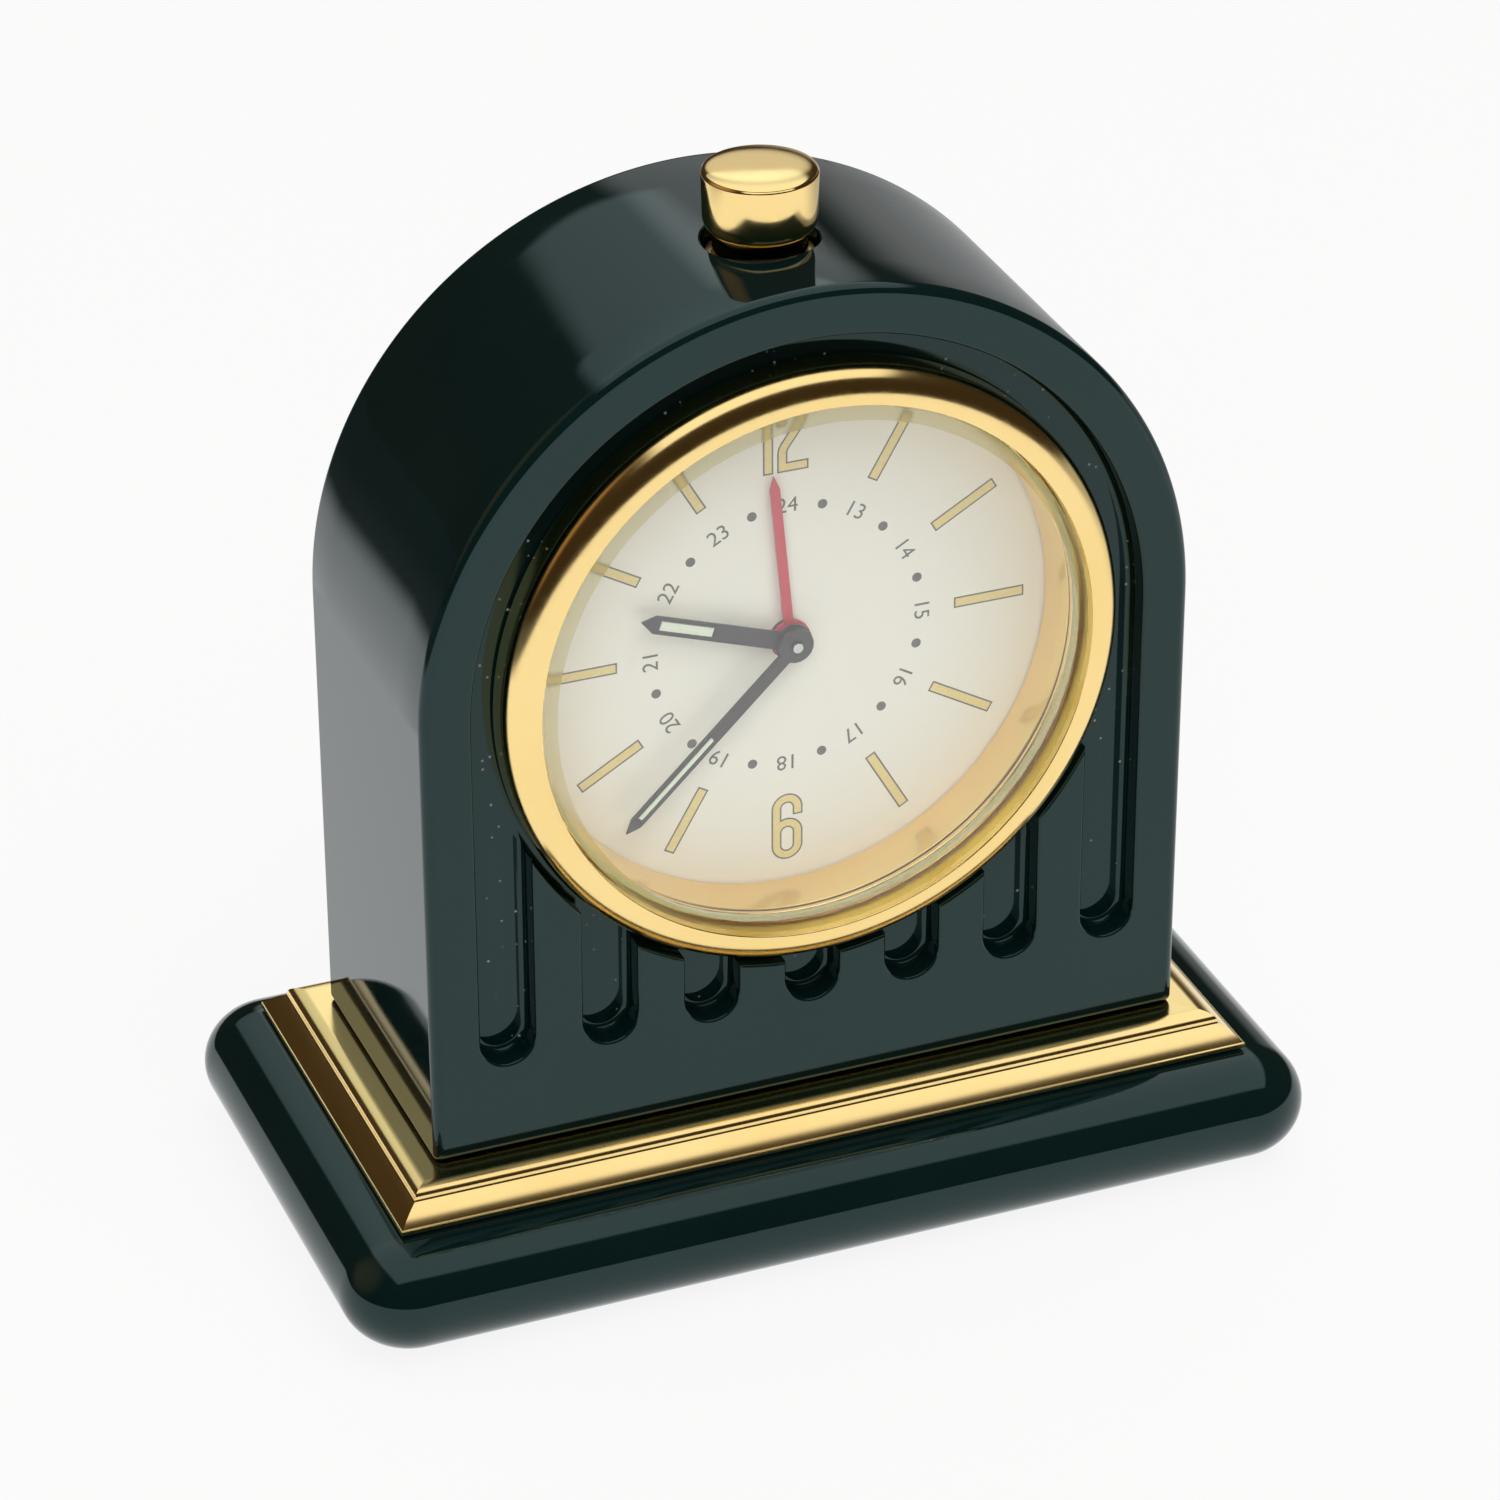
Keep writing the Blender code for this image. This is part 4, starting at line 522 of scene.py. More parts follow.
def piece(name, bm, materials, body="case", stands_for=(), limit=SMOOTH, group=None, tool=None):
    """Makes a piece, less a tool, with its materials, shading, body and replaced nodes."""
    made = new_object(name, bm)
    for material in materials:
        made.data.materials.append(material)
    if tool:
        cut(made, tool)
    smooth_normals(made.data, limit, group)
    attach(made, body)
    if stands_for:
        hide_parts(*stands_for)
    return made


def settled(made):
    """The object's mesh with its modifiers or its text worked out."""
    shown = made.evaluated_get(bpy.context.evaluated_depsgraph_get())
    return bpy.data.meshes.new_from_object(shown)


def cut(made, tool_bm):
    """Takes one body out of another for good."""
    tool = new_object("tool", tool_bm)
    modifier = made.modifiers.new("cut", 'BOOLEAN')
    modifier.operation = 'DIFFERENCE'
    modifier.solver = 'EXACT'
    modifier.object = tool
    result = settled(made)
    made.modifiers.clear()
    made.data = result
    bpy.data.objects.remove(tool)


# Material nodes

def new_material(name):
    made = bpy.data.materials.new(name)
    made.use_nodes = True
    return made, made.node_tree, made.node_tree.nodes["Principled BSDF"]


def put(tree, made, **inputs):
    """Sets inputs of a node, by name or _number, each to a value or another node's socket."""
    for key, value in inputs.items():
        socket = made.inputs[int(key[1:]) if key[0] == "_" else key.replace("_", " ")]
        if isinstance(value, bpy.types.NodeSocket):
            tree.links.new(value, socket)
        else:
            socket.default_value = value


def node(tree, kind, settings=None, **inputs):
    """A node with its settings and inputs."""
    made = tree.nodes.new(kind)
    for key, value in (settings or {}).items():
        setattr(made, key, value)
    put(tree, made, **inputs)
    return made


def where(tree, stretch=EVEN):
    """Places on the piece in metres, stretched along the axes."""
    place = node(tree, "ShaderNodeTexCoord").outputs["Object"]
    if stretch == EVEN:
        return place
    return node(tree, "ShaderNodeMapping", Vector=place, Scale=stretch).outputs["Vector"]


def noise(tree, scale, detail=3.0, stretch=EVEN):
    made = node(tree, "ShaderNodeTexNoise", Vector=where(tree, stretch), Scale=scale, Detail=detail)
    return made.outputs["Fac"]


def spread(tree, value, low, high, start=0.3, end=0.7, kind='LINEAR'):
    """Maps a value, by default a noise, onto a range."""
    made = node(tree, "ShaderNodeMapRange", {"interpolation_type": kind}, _0=value, _1=start, _2=end,
                _3=low, _4=high)
    return made.outputs["Result"]


def ramp(tree, value, start, end, low=0.0, high=1.0):
    """Smooth step between two values."""
    return spread(tree, value, low, high, start, end, 'SMOOTHSTEP')


def blend(tree, share, first, second):
    """Mixes two colours, given as colours or sockets."""
    pair = [colour if isinstance(colour, bpy.types.NodeSocket) else (*colour, 1.0)
            for colour in (first, second)]
    return node(tree, "ShaderNodeMix", {"data_type": 'RGBA'}, _0=share, _6=pair[0], _7=pair[1]).outputs[2]


def maths(tree, operation, first, second):
    return node(tree, "ShaderNodeMath", {"operation": operation}, _0=first, _1=second).outputs[0]


def vector_maths(tree, operation, first, second):
    made = node(tree, "ShaderNodeVectorMath", {"operation": operation}, _0=first, _1=second)
    return made.outputs["Value"]


def bump(tree, shader, height, strength, distance):
    made = node(tree, "ShaderNodeBump", Height=height, Strength=strength, Distance=distance)
    put(tree, shader, Normal=made.outputs["Normal"])


def basic(name, dark, light, rough, grain, metallic=0.0, relief=0.0, detail=4.0, stretch=EVEN):
    """A material whose colour, roughness and relief follow one grain; rough is a pair of values."""
    made, tree, shader = new_material(name)
    pattern = noise(tree, grain, detail, stretch)
    colour = blend(tree, spread(tree, pattern, 0.0, 1.0), dark, light)
    put(tree, shader, Base_Color=colour, Roughness=spread(tree, pattern, *rough), Metallic=metallic)
    if relief:
        bump(tree, shader, pattern, 0.5, relief)
    return made


def lacquer(name, dust=False):
    """Deep green gloss lacquer over a faintly wavy ground, with dust in the flutes."""
    made, tree, shader = new_material(name)
    drift = spread(tree, noise(tree, 60.0), 0.0, 1.0)
    colour = blend(tree, drift, (0.0022, 0.0115, 0.0115), (0.0032, 0.0140, 0.0138))
    rough = spread(tree, noise(tree, 240.0, 5.0), 0.03, 0.06)
    if dust:
        cells = node(tree, "ShaderNodeTexVoronoi", Vector=where(tree), Scale=1500.0, Randomness=1.0)
        near = spread(tree, cells.outputs["Distance"], 1.0, 0.0, 0.10, 0.24)
        picked = node(tree, "ShaderNodeSeparateColor", Color=cells.outputs["Color"]).outputs["Red"]
        chosen = spread(tree, picked, 0.0, 1.0, 0.88, 0.95)
        speck = maths(tree, 'MULTIPLY', near, chosen)
        colour = blend(tree, speck, colour, (0.42, 0.43, 0.42))
        rough = maths(tree, 'MAXIMUM', rough, speck)
    put(tree, shader, Base_Color=colour, Roughness=rough, IOR=1.5, Specular_Tint=(0.68, 1.0, 1.0, 1.0))
    bump(tree, shader, noise(tree, 90.0, 2.0), 0.10, 0.00002)
    return made


def gilt(name, rough, stretch=EVEN, grain=900.0, relief=0.0000015):
    """Polished gilt with faint toning and fine polishing lines along the stretch."""
    made, tree, shader = new_material(name)
    tone = spread(tree, noise(tree, 45.0), 0.0, 1.0)
    colour = blend(tree, tone, (0.96, 0.70, 0.28), (1.0, 0.76, 0.34))
    lines = noise(tree, grain, 4.0, stretch)
    put(tree, shader, Base_Color=colour, Roughness=spread(tree, lines, *rough), Metallic=1.0)
    bump(tree, shader, lines, 0.4, relief)
    return made


def glass(name, rough, colour, coat=1.0, coat_rough=0.0):
    """Clear glass that hardly bends the view, with the gloss of glass on its surface."""
    made, tree, shader = new_material(name)
    haze = spread(tree, noise(tree, 150.0, 5.0), *rough)
    put(tree, shader, Base_Color=(*colour, 1.0), Roughness=haze, Transmission_Weight=1.0, IOR=1.04,
        Coat_Weight=coat, Coat_IOR=1.72, Coat_Roughness=coat_rough)
    return made


def ivory():
    """Satin cream paint, with a painted warm glow towards the edge of the dial that stands in for light
    thrown onto it by the gilt ring.
    """
    made, tree, shader = new_material("ivory_paint")
    # Painted reflected light: the colour warms with distance from the dial's centre, as if lit by the gilt
    # ring
    reach = vector_maths(tree, 'DISTANCE', where(tree), on_dial(0.0, 0.0, DIAL_DEPTH))
    edge = maths(tree, 'POWER', spread(tree, reach, 0.0, 1.0, 0.013, 0.0255), 2.2)
    colour = blend(tree, edge, (0.82, 0.805, 0.72), (0.85, 0.77, 0.62))
    mottle = spread(tree, noise(tree, 500.0, 5.0), 0.0, 0.05)
    colour = blend(tree, mottle, colour, (0.74, 0.71, 0.62))
    put(tree, shader, Base_Color=colour, Roughness=spread(tree, noise(tree, 5000.0), 0.42, 0.56))
    bump(tree, shader, noise(tree, 4000.0, 2.0), 0.1, 0.0000008)
    return made


def felt():
    """Green felt with short fibres."""
    made, tree, shader = new_material("green_felt_cloth")
    fibres = noise(tree, 2600.0, 8.0, (1.0, 0.35, 1.0))
    colour = blend(tree, spread(tree, fibres, 0.0, 1.0), (0.006, 0.028, 0.018), (0.022, 0.075, 0.050))
    put(tree, shader, Base_Color=colour, Roughness=0.95, Sheen_Weight=0.35)
    bump(tree, shader, fibres, 0.8, 0.0002)
    return made


LACQUER = lacquer("deep_green_lacquer")
DUSTY = lacquer("deep_green_lacquer_flutes", dust=True)
GILT = gilt("polished_gilt", (0.07, 0.12))
GILT_TURNED = gilt("turned_gilt", (0.14, 0.19))
GILT_ALONG_X = gilt("gilt_drawn_along_x", (0.16, 0.21), (1.0, 9.0, 9.0), 70.0, 0.0000015)
GILT_ALONG_Y = gilt("gilt_drawn_along_y", (0.16, 0.21), (9.0, 1.0, 9.0), 70.0, 0.0000015)
GILT_RING = gilt("satin_gilt", (0.20, 0.27), grain=2500.0, relief=0.0000003)
GLASS = glass("clock_glass", (0.0, 0.01), (0.985, 0.995, 0.985))
GLASS_EDGE = glass("clock_glass_bevel", (0.52, 0.58), (0.88, 0.86, 0.60), 0.5, 0.4)
IVORY = ivory()
FELT = felt()
PRINT_GREY = basic("print_grey", (0.075, 0.075, 0.072), (0.11, 0.108, 0.10), (0.45, 0.6), 6000.0)
PRINT_YELLOW = basic("print_yellow", (0.72, 0.57, 0.20), (0.80, 0.66, 0.28), (0.4, 0.55), 5000.0,
                     relief=0.000002)
HAND_BLACK = basic("hand_black", (0.010, 0.010, 0.011), (0.018, 0.017, 0.018), (0.28, 0.42), 2500.0)
HAND_RED = basic("hand_red", (0.48, 0.018, 0.040), (0.56, 0.028, 0.055), (0.30, 0.42), 2500.0)
LUME = basic("pale_lume_paint", (0.66, 0.74, 0.58), (0.76, 0.83, 0.68), (0.6, 0.8), 9000.0, relief=0.00001)
BRASS = basic("turned_brass", (0.62, 0.42, 0.16), (0.76, 0.55, 0.25), (0.22, 0.36), 1500.0, 1.0,
              0.000003, stretch=(1.0, 30.0, 1.0))
STEEL = basic("bright_steel_grain", (0.52, 0.52, 0.53), (0.66, 0.66, 0.66), (0.20, 0.34), 1800.0, 1.0,
              0.000003, stretch=(20.0, 1.0, 1.0))
MAGNET = basic("sintered_magnet", (0.05, 0.05, 0.055), (0.10, 0.10, 0.105), (0.35, 0.55), 3000.0, 0.7,
               0.00001)
CREAM = basic("cream_moulded", (0.66, 0.63, 0.56), (0.73, 0.71, 0.64), (0.38, 0.5), 2500.0, 0.0, 0.000006)
KNOB_BLACK = basic("black_knob_gloss", (0.012, 0.012, 0.013), (0.020, 0.020, 0.022), (0.22, 0.34), 3000.0,
                   0.0, 0.000008)
BLACK = basic("black_moulded", (0.014, 0.014, 0.015), (0.026, 0.026, 0.028), (0.40, 0.58), 4500.0, 0.0,
              0.00002)
COPPER = basic("enamelled_copper", (0.46, 0.15, 0.06), (0.68, 0.28, 0.13), (0.25, 0.4), 900.0, 1.0,
               0.00005, stretch=(1.0, 1.0, 9.0))
BOARD = basic("board_green_resin", (0.012, 0.085, 0.035), (0.03, 0.15, 0.07), (0.3, 0.5), 700.0, 0.0,
              0.00001)
SLEEVE = basic("battery_sleeve_print", (0.045, 0.05, 0.06), (0.075, 0.08, 0.09), (0.25, 0.35), 400.0, 0.4)
GASKET = basic("clear_gasket_ring", (0.50, 0.47, 0.26), (0.58, 0.55, 0.33), (0.62, 0.75), 2000.0)


# Pieces

def build_case():
    """Hollow arched case with its recess, flutes, bore, cover seat and button hole."""
    bm = bmesh.new()
    sections = [(across, CASE_EDGE - back) for across, back in quarter(CASE_EDGE, 90, 0)]
    for row in range(1, CASE_ROWS):
        sections.append((CASE_EDGE, CASE_EDGE + (CASE_DEPTH - 2 * CASE_EDGE) * row / CASE_ROWS))
    sections += [(across, CASE_DEPTH - CASE_EDGE + back) for across, back in quarter(CASE_EDGE, 0, 90)]
    outer = []
    for across, depth in sections:
        inset = CASE_EDGE - across
        outer.append(ring(bm, arch(ARCH_RADIUS - inset, CASE_SHOULDER - inset), depth))
    inner = [
        ring(bm, arch(REBATE_RADIUS, REBATE_DROP), CASE_DEPTH),
        ring(bm, arch(REBATE_RADIUS, REBATE_DROP), COVER_SEAT),
        ring(bm, arch(CAVITY_RADIUS, CAVITY_DROP), COVER_SEAT),
        ring(bm, arch(CAVITY_RADIUS, CAVITY_DROP), CASE_FRONT),
    ]
    loft(bm, outer + inner)
    recess = [ring(bm, recess_outline(across - LIP), LIP - back) for across, back in quarter(LIP, 90, 0)]
    for across, deep in quarter(FLUTE_COVE, 0, 90):
        recess.append(ring(bm, recess_outline(FLUTE_COVE - across), FLUTE_DEPTH - FLUTE_COVE + deep))
    loft(bm, recess)
    span(bm, outer[0], recess[0])
    bore = [ring(bm, circle(SKIRT_RADIUS + GAP, ROUND_STEPS), depth) for depth in (FLUTE_DEPTH, CASE_FRONT)]
    loft(bm, bore)
    span(bm, recess[-1], bore[0])
    span(bm, inner[-1], bore[1])
    for loop in recess[EDGE_STEPS + 2:]:
        for vert in loop:
            for face in vert.link_faces:
                face.material_index = 1
    piece("case_body", bm, (LACQUER, DUSTY), stands_for=["case_shell"], tool=button_hole())


def button_hole():
    """Round hole down through the arch, with a softened rim that follows the arch."""
    def at(x, y, rise):
        return (x, BUTTON_Y + y, DIAL_Z + math.sqrt(ARCH_RADIUS ** 2 - x ** 2) + rise)

    profile = [(BUTTON_HOLE, -BUTTON_HOLE_DEEP)]
    for across, up in quarter(BUTTON_HOLE_LIP, 0, BUTTON_HOLE_TURN):
        profile.append((BUTTON_HOLE + BUTTON_HOLE_LIP - across, up - BUTTON_HOLE_LIP))
    wide = BUTTON_HOLE + BUTTON_HOLE_FLARE
    profile += [(wide, BUTTON_HOLE_FLARE), (wide, BUTTON_HOLE_DEEP)]
    bm = bmesh.new()
    loft(bm, [ring(bm, circle(radius, BUTTON_STEPS), rise, at) for radius, rise in profile], capped=True)
    return bm


def build_plinth():
    """Plinth with a half-round edge and a pocket for the felt."""
    bm = bmesh.new()
    middle = PLINTH_FOOT_Z + PLINTH_HEIGHT / 2
    rings = []
    for across, height in arc((0.0, middle), PLINTH_REACH, PLINTH_HEIGHT / 2, 90, -90, BULL_STEPS):
        inset = PLINTH_REACH - across
        rings.append(ring(bm, rounded_rectangle(PLINTH_HALF, PLINTH_CORNER, inset), height, level))
    pocket = rounded_rectangle(FELT_HALF, FELT_CORNER, -GAP)
    low = ring(bm, pocket, PLINTH_FOOT_Z, level)
    high = ring(bm, pocket, FELT_THICK + GAP, level)
    loft(bm, rings + [low, high], capped=True)
    piece("plinth_body", bm, (LACQUER,), stands_for=["base_plinth"])


def on_side_arm(centre):
    """Faces of the moulding's two arms along Y lie off the middle."""
    return abs(centre.x) > GAP


def build_moulding():
    """Mitred frame: a shelf with a round nose, a small cove, a slope that swells a little and a fillet."""
    nose_low = MOULDING_HEIGHT - MOULDING_NOSE_DROP
    cove = (MOULDING_SHELF + MOULDING_NOSE + MOULDING_COVE, nose_low)
    slope_end = (MOULDING_REACH - MOULDING_QUIRK, MOULDING_FILLET)
    run = slope_end[0] - cove[0]
    fall = cove[1] - slope_end[1]
    slope = math.atan2(fall, run) - math.asin(MOULDING_COVE / math.hypot(run, fall))
    points = [(-MOULDING_RAIL, MOULDING_HEIGHT)]
    points += arc((MOULDING_SHELF, nose_low), MOULDING_NOSE, MOULDING_NOSE_DROP, 90, 0, CORNER_STEPS)
    points += arc(cove, MOULDING_COVE, MOULDING_COVE, 180, 270 - math.degrees(slope), CORNER_STEPS)[1:]
    start = Vector(points[-1])
    along = Vector(slope_end) - start
    out = Vector((-along.y, along.x)).normalized()
    for k in range(1, CORNER_STEPS + 1):
        t = k / CORNER_STEPS
        spot = start + along * t + out * (4 * MOULDING_BULGE * t * (1 - t))
        points.append((spot.x, spot.y))
    points += [(MOULDING_REACH, MOULDING_FILLET), (MOULDING_REACH, 0.0), (-MOULDING_RAIL, 0.0)]
    bm = bmesh.new()
    rings = []
    for reach, height in eased(points, MOULDING_EASE):
        half_x = MOULDING_HALF[0] + reach
        half_y = MOULDING_HALF[1] + reach
        corners = ((half_x, half_y), (-half_x, half_y), (-half_x, -half_y), (half_x, -half_y))
        rings.append(ring(bm, corners, MOULDING_FOOT_Z + height, level))
    loft(bm, rings, closed=True)
    for face in bm.faces:
        face.material_index = on_side_arm(face.calc_center_median())
    piece("gilt_moulding", bm, (GILT_ALONG_X, GILT_ALONG_Y), stands_for=["plinth_moulding"],
          group=on_side_arm)


def build_bezel():
    """Round-shouldered ring with a ledge under the glass and a skirt through the case's front."""
    foot = FLUTE_DEPTH - GAP
    profile = [(BEZEL_RADIUS, -foot)]
    profile += arc((BEZEL_RADIUS - BEZEL_ROUND, -BEZEL_SHOULDER), BEZEL_ROUND,
                   BEZEL_CREST + BEZEL_SHOULDER, 0, 90, BEZEL_STEPS)
    profile += [
        (BEZEL_BORE, BEZEL_CREST),
        (BEZEL_BORE, -LEDGE_FRONT),
        (BEZEL_LEDGE, -LEDGE_FRONT),
        (BEZEL_LEDGE, -LEDGE_BACK),
        (SKIRT_INNER, -LEDGE_BACK),
        (SKIRT_INNER, -SKIRT_DEPTH),
        (SKIRT_RADIUS, -SKIRT_DEPTH),
        (SKIRT_RADIUS, -foot),
    ]
    profile = [(radius, -third) for radius, third in eased(profile, BEZEL_EASE)]
    bm = turned(profile, ROUND_STEPS, on_dial, closed=True)
    piece("bezel_ring", bm, (GILT_TURNED,), stands_for=["bezel"])


def build_glass():
    """Flat glass with a shallow ground bevel."""
    radius = BEZEL_BORE - GAP
    back = GLASS_FRONT - GLASS_THICK
    profile = [
        (0.0, GLASS_FRONT),
        (radius - GLASS_BEVEL, GLASS_FRONT),
        (radius, GLASS_FRONT - GLASS_BEVEL_DEPTH),
        (radius, back),
        (0.0, back),
    ]
    profile = [(r, -third) for r, third in eased(profile, GLASS_EASE, closed=False)]
    bm = turned(profile, ROUND_STEPS, on_dial)
    for face in bm.faces:
        middle = face.calc_center_median()
        face.material_index = math.hypot(middle.x, middle.z - DIAL_Z) > radius - GLASS_BEVEL
    made = piece("glass_lens", bm, (GLASS, GLASS_EDGE), stands_for=["crystal"], limit=SMOOTH_GLASS)
    made.visible_shadow = False


def build_dial():
    """Dial plate, and the gilt ring that slopes from it to the bezel."""
    front = LEDGE_BACK + GAP
    back = DIAL_DEPTH - GAP
    ring_profile = [(DIAL_RADIUS, front), (DIAL_RADIUS, back), (DIAL_SIGHT, back), (BEZEL_LEDGE, front)]
    band = turned(eased(ring_profile, RING_EASE), ROUND_STEPS, on_dial, closed=True)
    piece("dial_ring_band", band, (GILT_RING,), stands_for=["dial_ring"])
    plate = [(DIAL_HOLE, DIAL_DEPTH), (DIAL_RADIUS, DIAL_DEPTH), (DIAL_RADIUS, DIAL_DEPTH + DIAL_THICK),
             (DIAL_HOLE, DIAL_DEPTH + DIAL_THICK)]
    disc = turned(plate, ROUND_STEPS, on_dial, closed=True)
    piece("dial_plate", disc, (IVORY,), stands_for=["dial"])


# Dial print

def stroke(path, half):
    """Pairs of edge points along a stroke, mitred at its corners."""
    rows = []
    for k, point in enumerate(path):
        here = Vector(point)
        before = (here - Vector(path[k - 1])).normalized() if k > 0 else None
        after = (Vector(path[k + 1]) - here).normalized() if k < len(path) - 1 else None
        along = ((before or after) + (after or before)).normalized()
        side = Vector((-along.y, along.x))
        lean = side.dot(Vector((-(before or after).y, (before or after).x)))
        side *= half / max(lean, MITRE_LEAST)
        rows.append(((here.x + side.x, here.y + side.y), (here.x - side.x, here.y - side.y)))
    return rows


def slab(bm, rows, near, far):
    """Thin closed strip between pairs of edge points."""
    sections = []
    for left, right in rows:
        corners = ((left, near), (right, near), (right, far), (left, far))
        sections.append([bm.verts.new(on_dial(*spot, depth)) for spot, depth in corners])
    loft(bm, sections, capped=True)


def six_rows(half):
    """The figure six as one stroke, ending square against its own left side."""
    middle_top = -NUMERAL_LOW - SIX_RADIUS - NUMERAL_HALF
    middle_low = SIX_RADIUS + NUMERAL_HALF - NUMERAL_HIGH
    bowl = middle_low + SIX_BOWL
    trim = NUMERAL_HALF - half
    path = [(SIX_RADIUS, middle_top - SIX_HOOK + trim)]
    path += arc((0.0, middle_top), SIX_RADIUS, SIX_RADIUS, 0, 180, NUMERAL_STEPS)
    path += arc((0.0, middle_low), SIX_RADIUS, SIX_RADIUS, 180, 360, NUMERAL_STEPS)
    rows = stroke(path + [(SIX_RADIUS, bowl)], half)
    outer = SIX_RADIUS + half
    inner = SIX_RADIUS - half
    meet = math.degrees(math.acos(-inner / outer))
    for k in range(1, NUMERAL_STEPS + 1):
        angle = 180 * k / NUMERAL_STEPS
        c = math.cos(math.radians(angle))
        s = math.sin(math.radians(angle))
        edge = (outer * c, bowl + outer * s)
        if angle > meet:
            share = (180 - angle) / (180 - meet)
            edge = (-inner, bowl + outer * math.sin(math.radians(meet)) * share)
        rows.append(((inner * c, bowl + inner * s), edge))
    return rows


def two_path(trim):
    """Centreline of the figure two, from its hook to the end of its foot."""
    left = TWO_LEFT + NUMERAL_HALF
    right = TWO_RIGHT - NUMERAL_HALF
    radius = (right - left) / 2
    top = (left + radius, NUMERAL_HIGH - NUMERAL_HALF - radius)
    foot = NUMERAL_LOW + NUMERAL_HALF
    path = [(left, top[1] - TWO_HOOK + trim)]
    path += arc(top, radius, radius, 180, TWO_TURN, TWO_STEPS)
    bend = (left + TWO_BEND, foot + TWO_BEND_RISE)
    path += arc(bend, TWO_BEND, TWO_BEND, TWO_BEND_FROM, 180, TWO_BEND_STEPS)
    path += [(left, foot), (TWO_RIGHT - trim, foot)]
    return path


def build_print():
    """Batons and figures as thin raised print, each a yellow fill inside a grey outline."""
    layers = (
        ("hour_marks_outline", PRINT_GREY, 0.0, 1, "black_metal"),
        ("hour_marks_fill", PRINT_YELLOW, PRINT_LINE, 2, "lume"),
    )
    for name, material, trim, layer, slot in layers:
        bm = bmesh.new()
        near = DIAL_DEPTH - layer * PRINT_RISE
        far = DIAL_DEPTH + PRINT_RISE / 2
        for hour in range(1, 12):
            if hour == 6:
                continue
            angle = hour * TAU / 12
            along = Vector((math.sin(angle), math.cos(angle)))
            path = [tuple(along * (BATON_FROM + trim)), tuple(along * (BATON_TO - trim))]
            slab(bm, stroke(path, BATON_HALF - trim), near, far)
        half = NUMERAL_HALF - trim
        slab(bm, six_rows(half), near, far)
        slab(bm, stroke(two_path(trim), half), near, far)
        one = [(ONE_ACROSS, NUMERAL_LOW + trim), (ONE_ACROSS, NUMERAL_HIGH - trim)]
        slab(bm, stroke(one, half), near, far)
        piece(name, bm, (material,), limit=SMOOTH_PRINT)


def build_small_figures():
    """Plain ring of the afternoon hours, 13 to 24, with a dot between each two."""
    bm = bmesh.new()
    near = DIAL_DEPTH - PRINT_RISE
    for hour in range(13, 25):
        text = bpy.data.curves.new("figure", 'FONT')
        text.body = str(hour)
        text.size = SMALL_SIZE
        text.align_x = 'CENTER'
        text.align_y = 'CENTER'
        text.extrude = PRINT_RISE
        text.resolution_u = 5
        holder = add("figure", text)
        angle = hour * TAU / 12
        spot = on_dial(SMALL_RING * math.sin(angle), SMALL_RING * math.cos(angle), DIAL_DEPTH)
        upright = Matrix.Rotation(TAU / 4, 4, 'X')
        holder.matrix_world = Matrix.Translation(spot) @ Matrix.Rotation(angle, 4, 'Y') @ upright
        bpy.context.view_layer.update()
        mesh = settled(holder)
        mesh.transform(holder.matrix_world)
        bm.from_mesh(mesh)
        bpy.data.objects.remove(holder)
        dot_at = angle + TAU / 24
        middle = (SMALL_RING * math.sin(dot_at), SMALL_RING * math.cos(dot_at))
        dot = circle(SMALL_DOT, DOT_STEPS, middle)
        loft(bm, [ring(bm, dot, depth) for depth in (DIAL_DEPTH + PRINT_RISE, near)], capped=True)
    piece("small_figures", bm, (PRINT_GREY,), limit=SMOOTH_PRINT)


def build_button():
    """Gilt drum with a low dome, rounded under into a shank that slides in the case."""
    rim = BUTTON_RIM_RISE
    foot = rim - BUTTON_DRUM
    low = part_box("alarm_button")[0].z - CASE_TOP_Z
    shank_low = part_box("button_spring")[1].z - CASE_TOP_Z + GAP
    profile = [(0.0, low), (STEM_RADIUS, low), (STEM_RADIUS, shank_low), (SHANK_RADIUS, shank_low)]
    flare = BUTTON_RADIUS - BUTTON_TAPER - SHANK_RADIUS
    profile += arc((SHANK_RADIUS, foot), flare, BUTTON_ROUND, -90, 0, CORNER_STEPS)
    dome = BUTTON_RADIUS - BUTTON_RIM
    profile += [(BUTTON_RADIUS, rim - BUTTON_RIM), (dome, rim)]
    profile += arc((0.0, rim), dome, BUTTON_DOME, 0, 90, DOME_STEPS)[1:-1]
    profile += [(0.0, rim + BUTTON_DOME)]
    cap = turned(eased(profile, BUTTON_EASE, closed=False), BUTTON_STEPS, above_case)
    piece("button_cap", cap, (GILT,), "button", ["alarm_button"])


def build_spring():
    """Coil under the button's shank."""
    low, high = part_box("button_spring")
    radius = (high.x - low.x) / 2 - SPRING_WIRE
    length = high.z - low.z
    rise = Vector((0.0, 0.0, 1.0))
    wire = circle(SPRING_WIRE, WIRE_STEPS)
    count = SPRING_TURNS * SPRING_STEPS
    bm = bmesh.new()
    rings = []
    for k in range(count + 1):
        angle = TAU * k / SPRING_STEPS
        out = Vector((math.cos(angle), math.sin(angle), 0.0))
        height = low.z + SPRING_WIRE + (length - 2 * SPRING_WIRE) * k / count
        middle = Vector((0.0, BUTTON_Y, height)) + out * radius
        rings.append([bm.verts.new(middle + out * x + rise * y) for x, y in wire])
    loft(bm, rings, capped=True)
    made = piece("spring_coil", bm, (STEEL,), stands_for=["button_spring"])
    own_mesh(made)


# Back

def shifted(axis):
    """Places on the dial's plane measured from another axis."""
    def at(x, y, depth):
        return on_dial(axis[0] + x, axis[1] + y, depth)
    return at


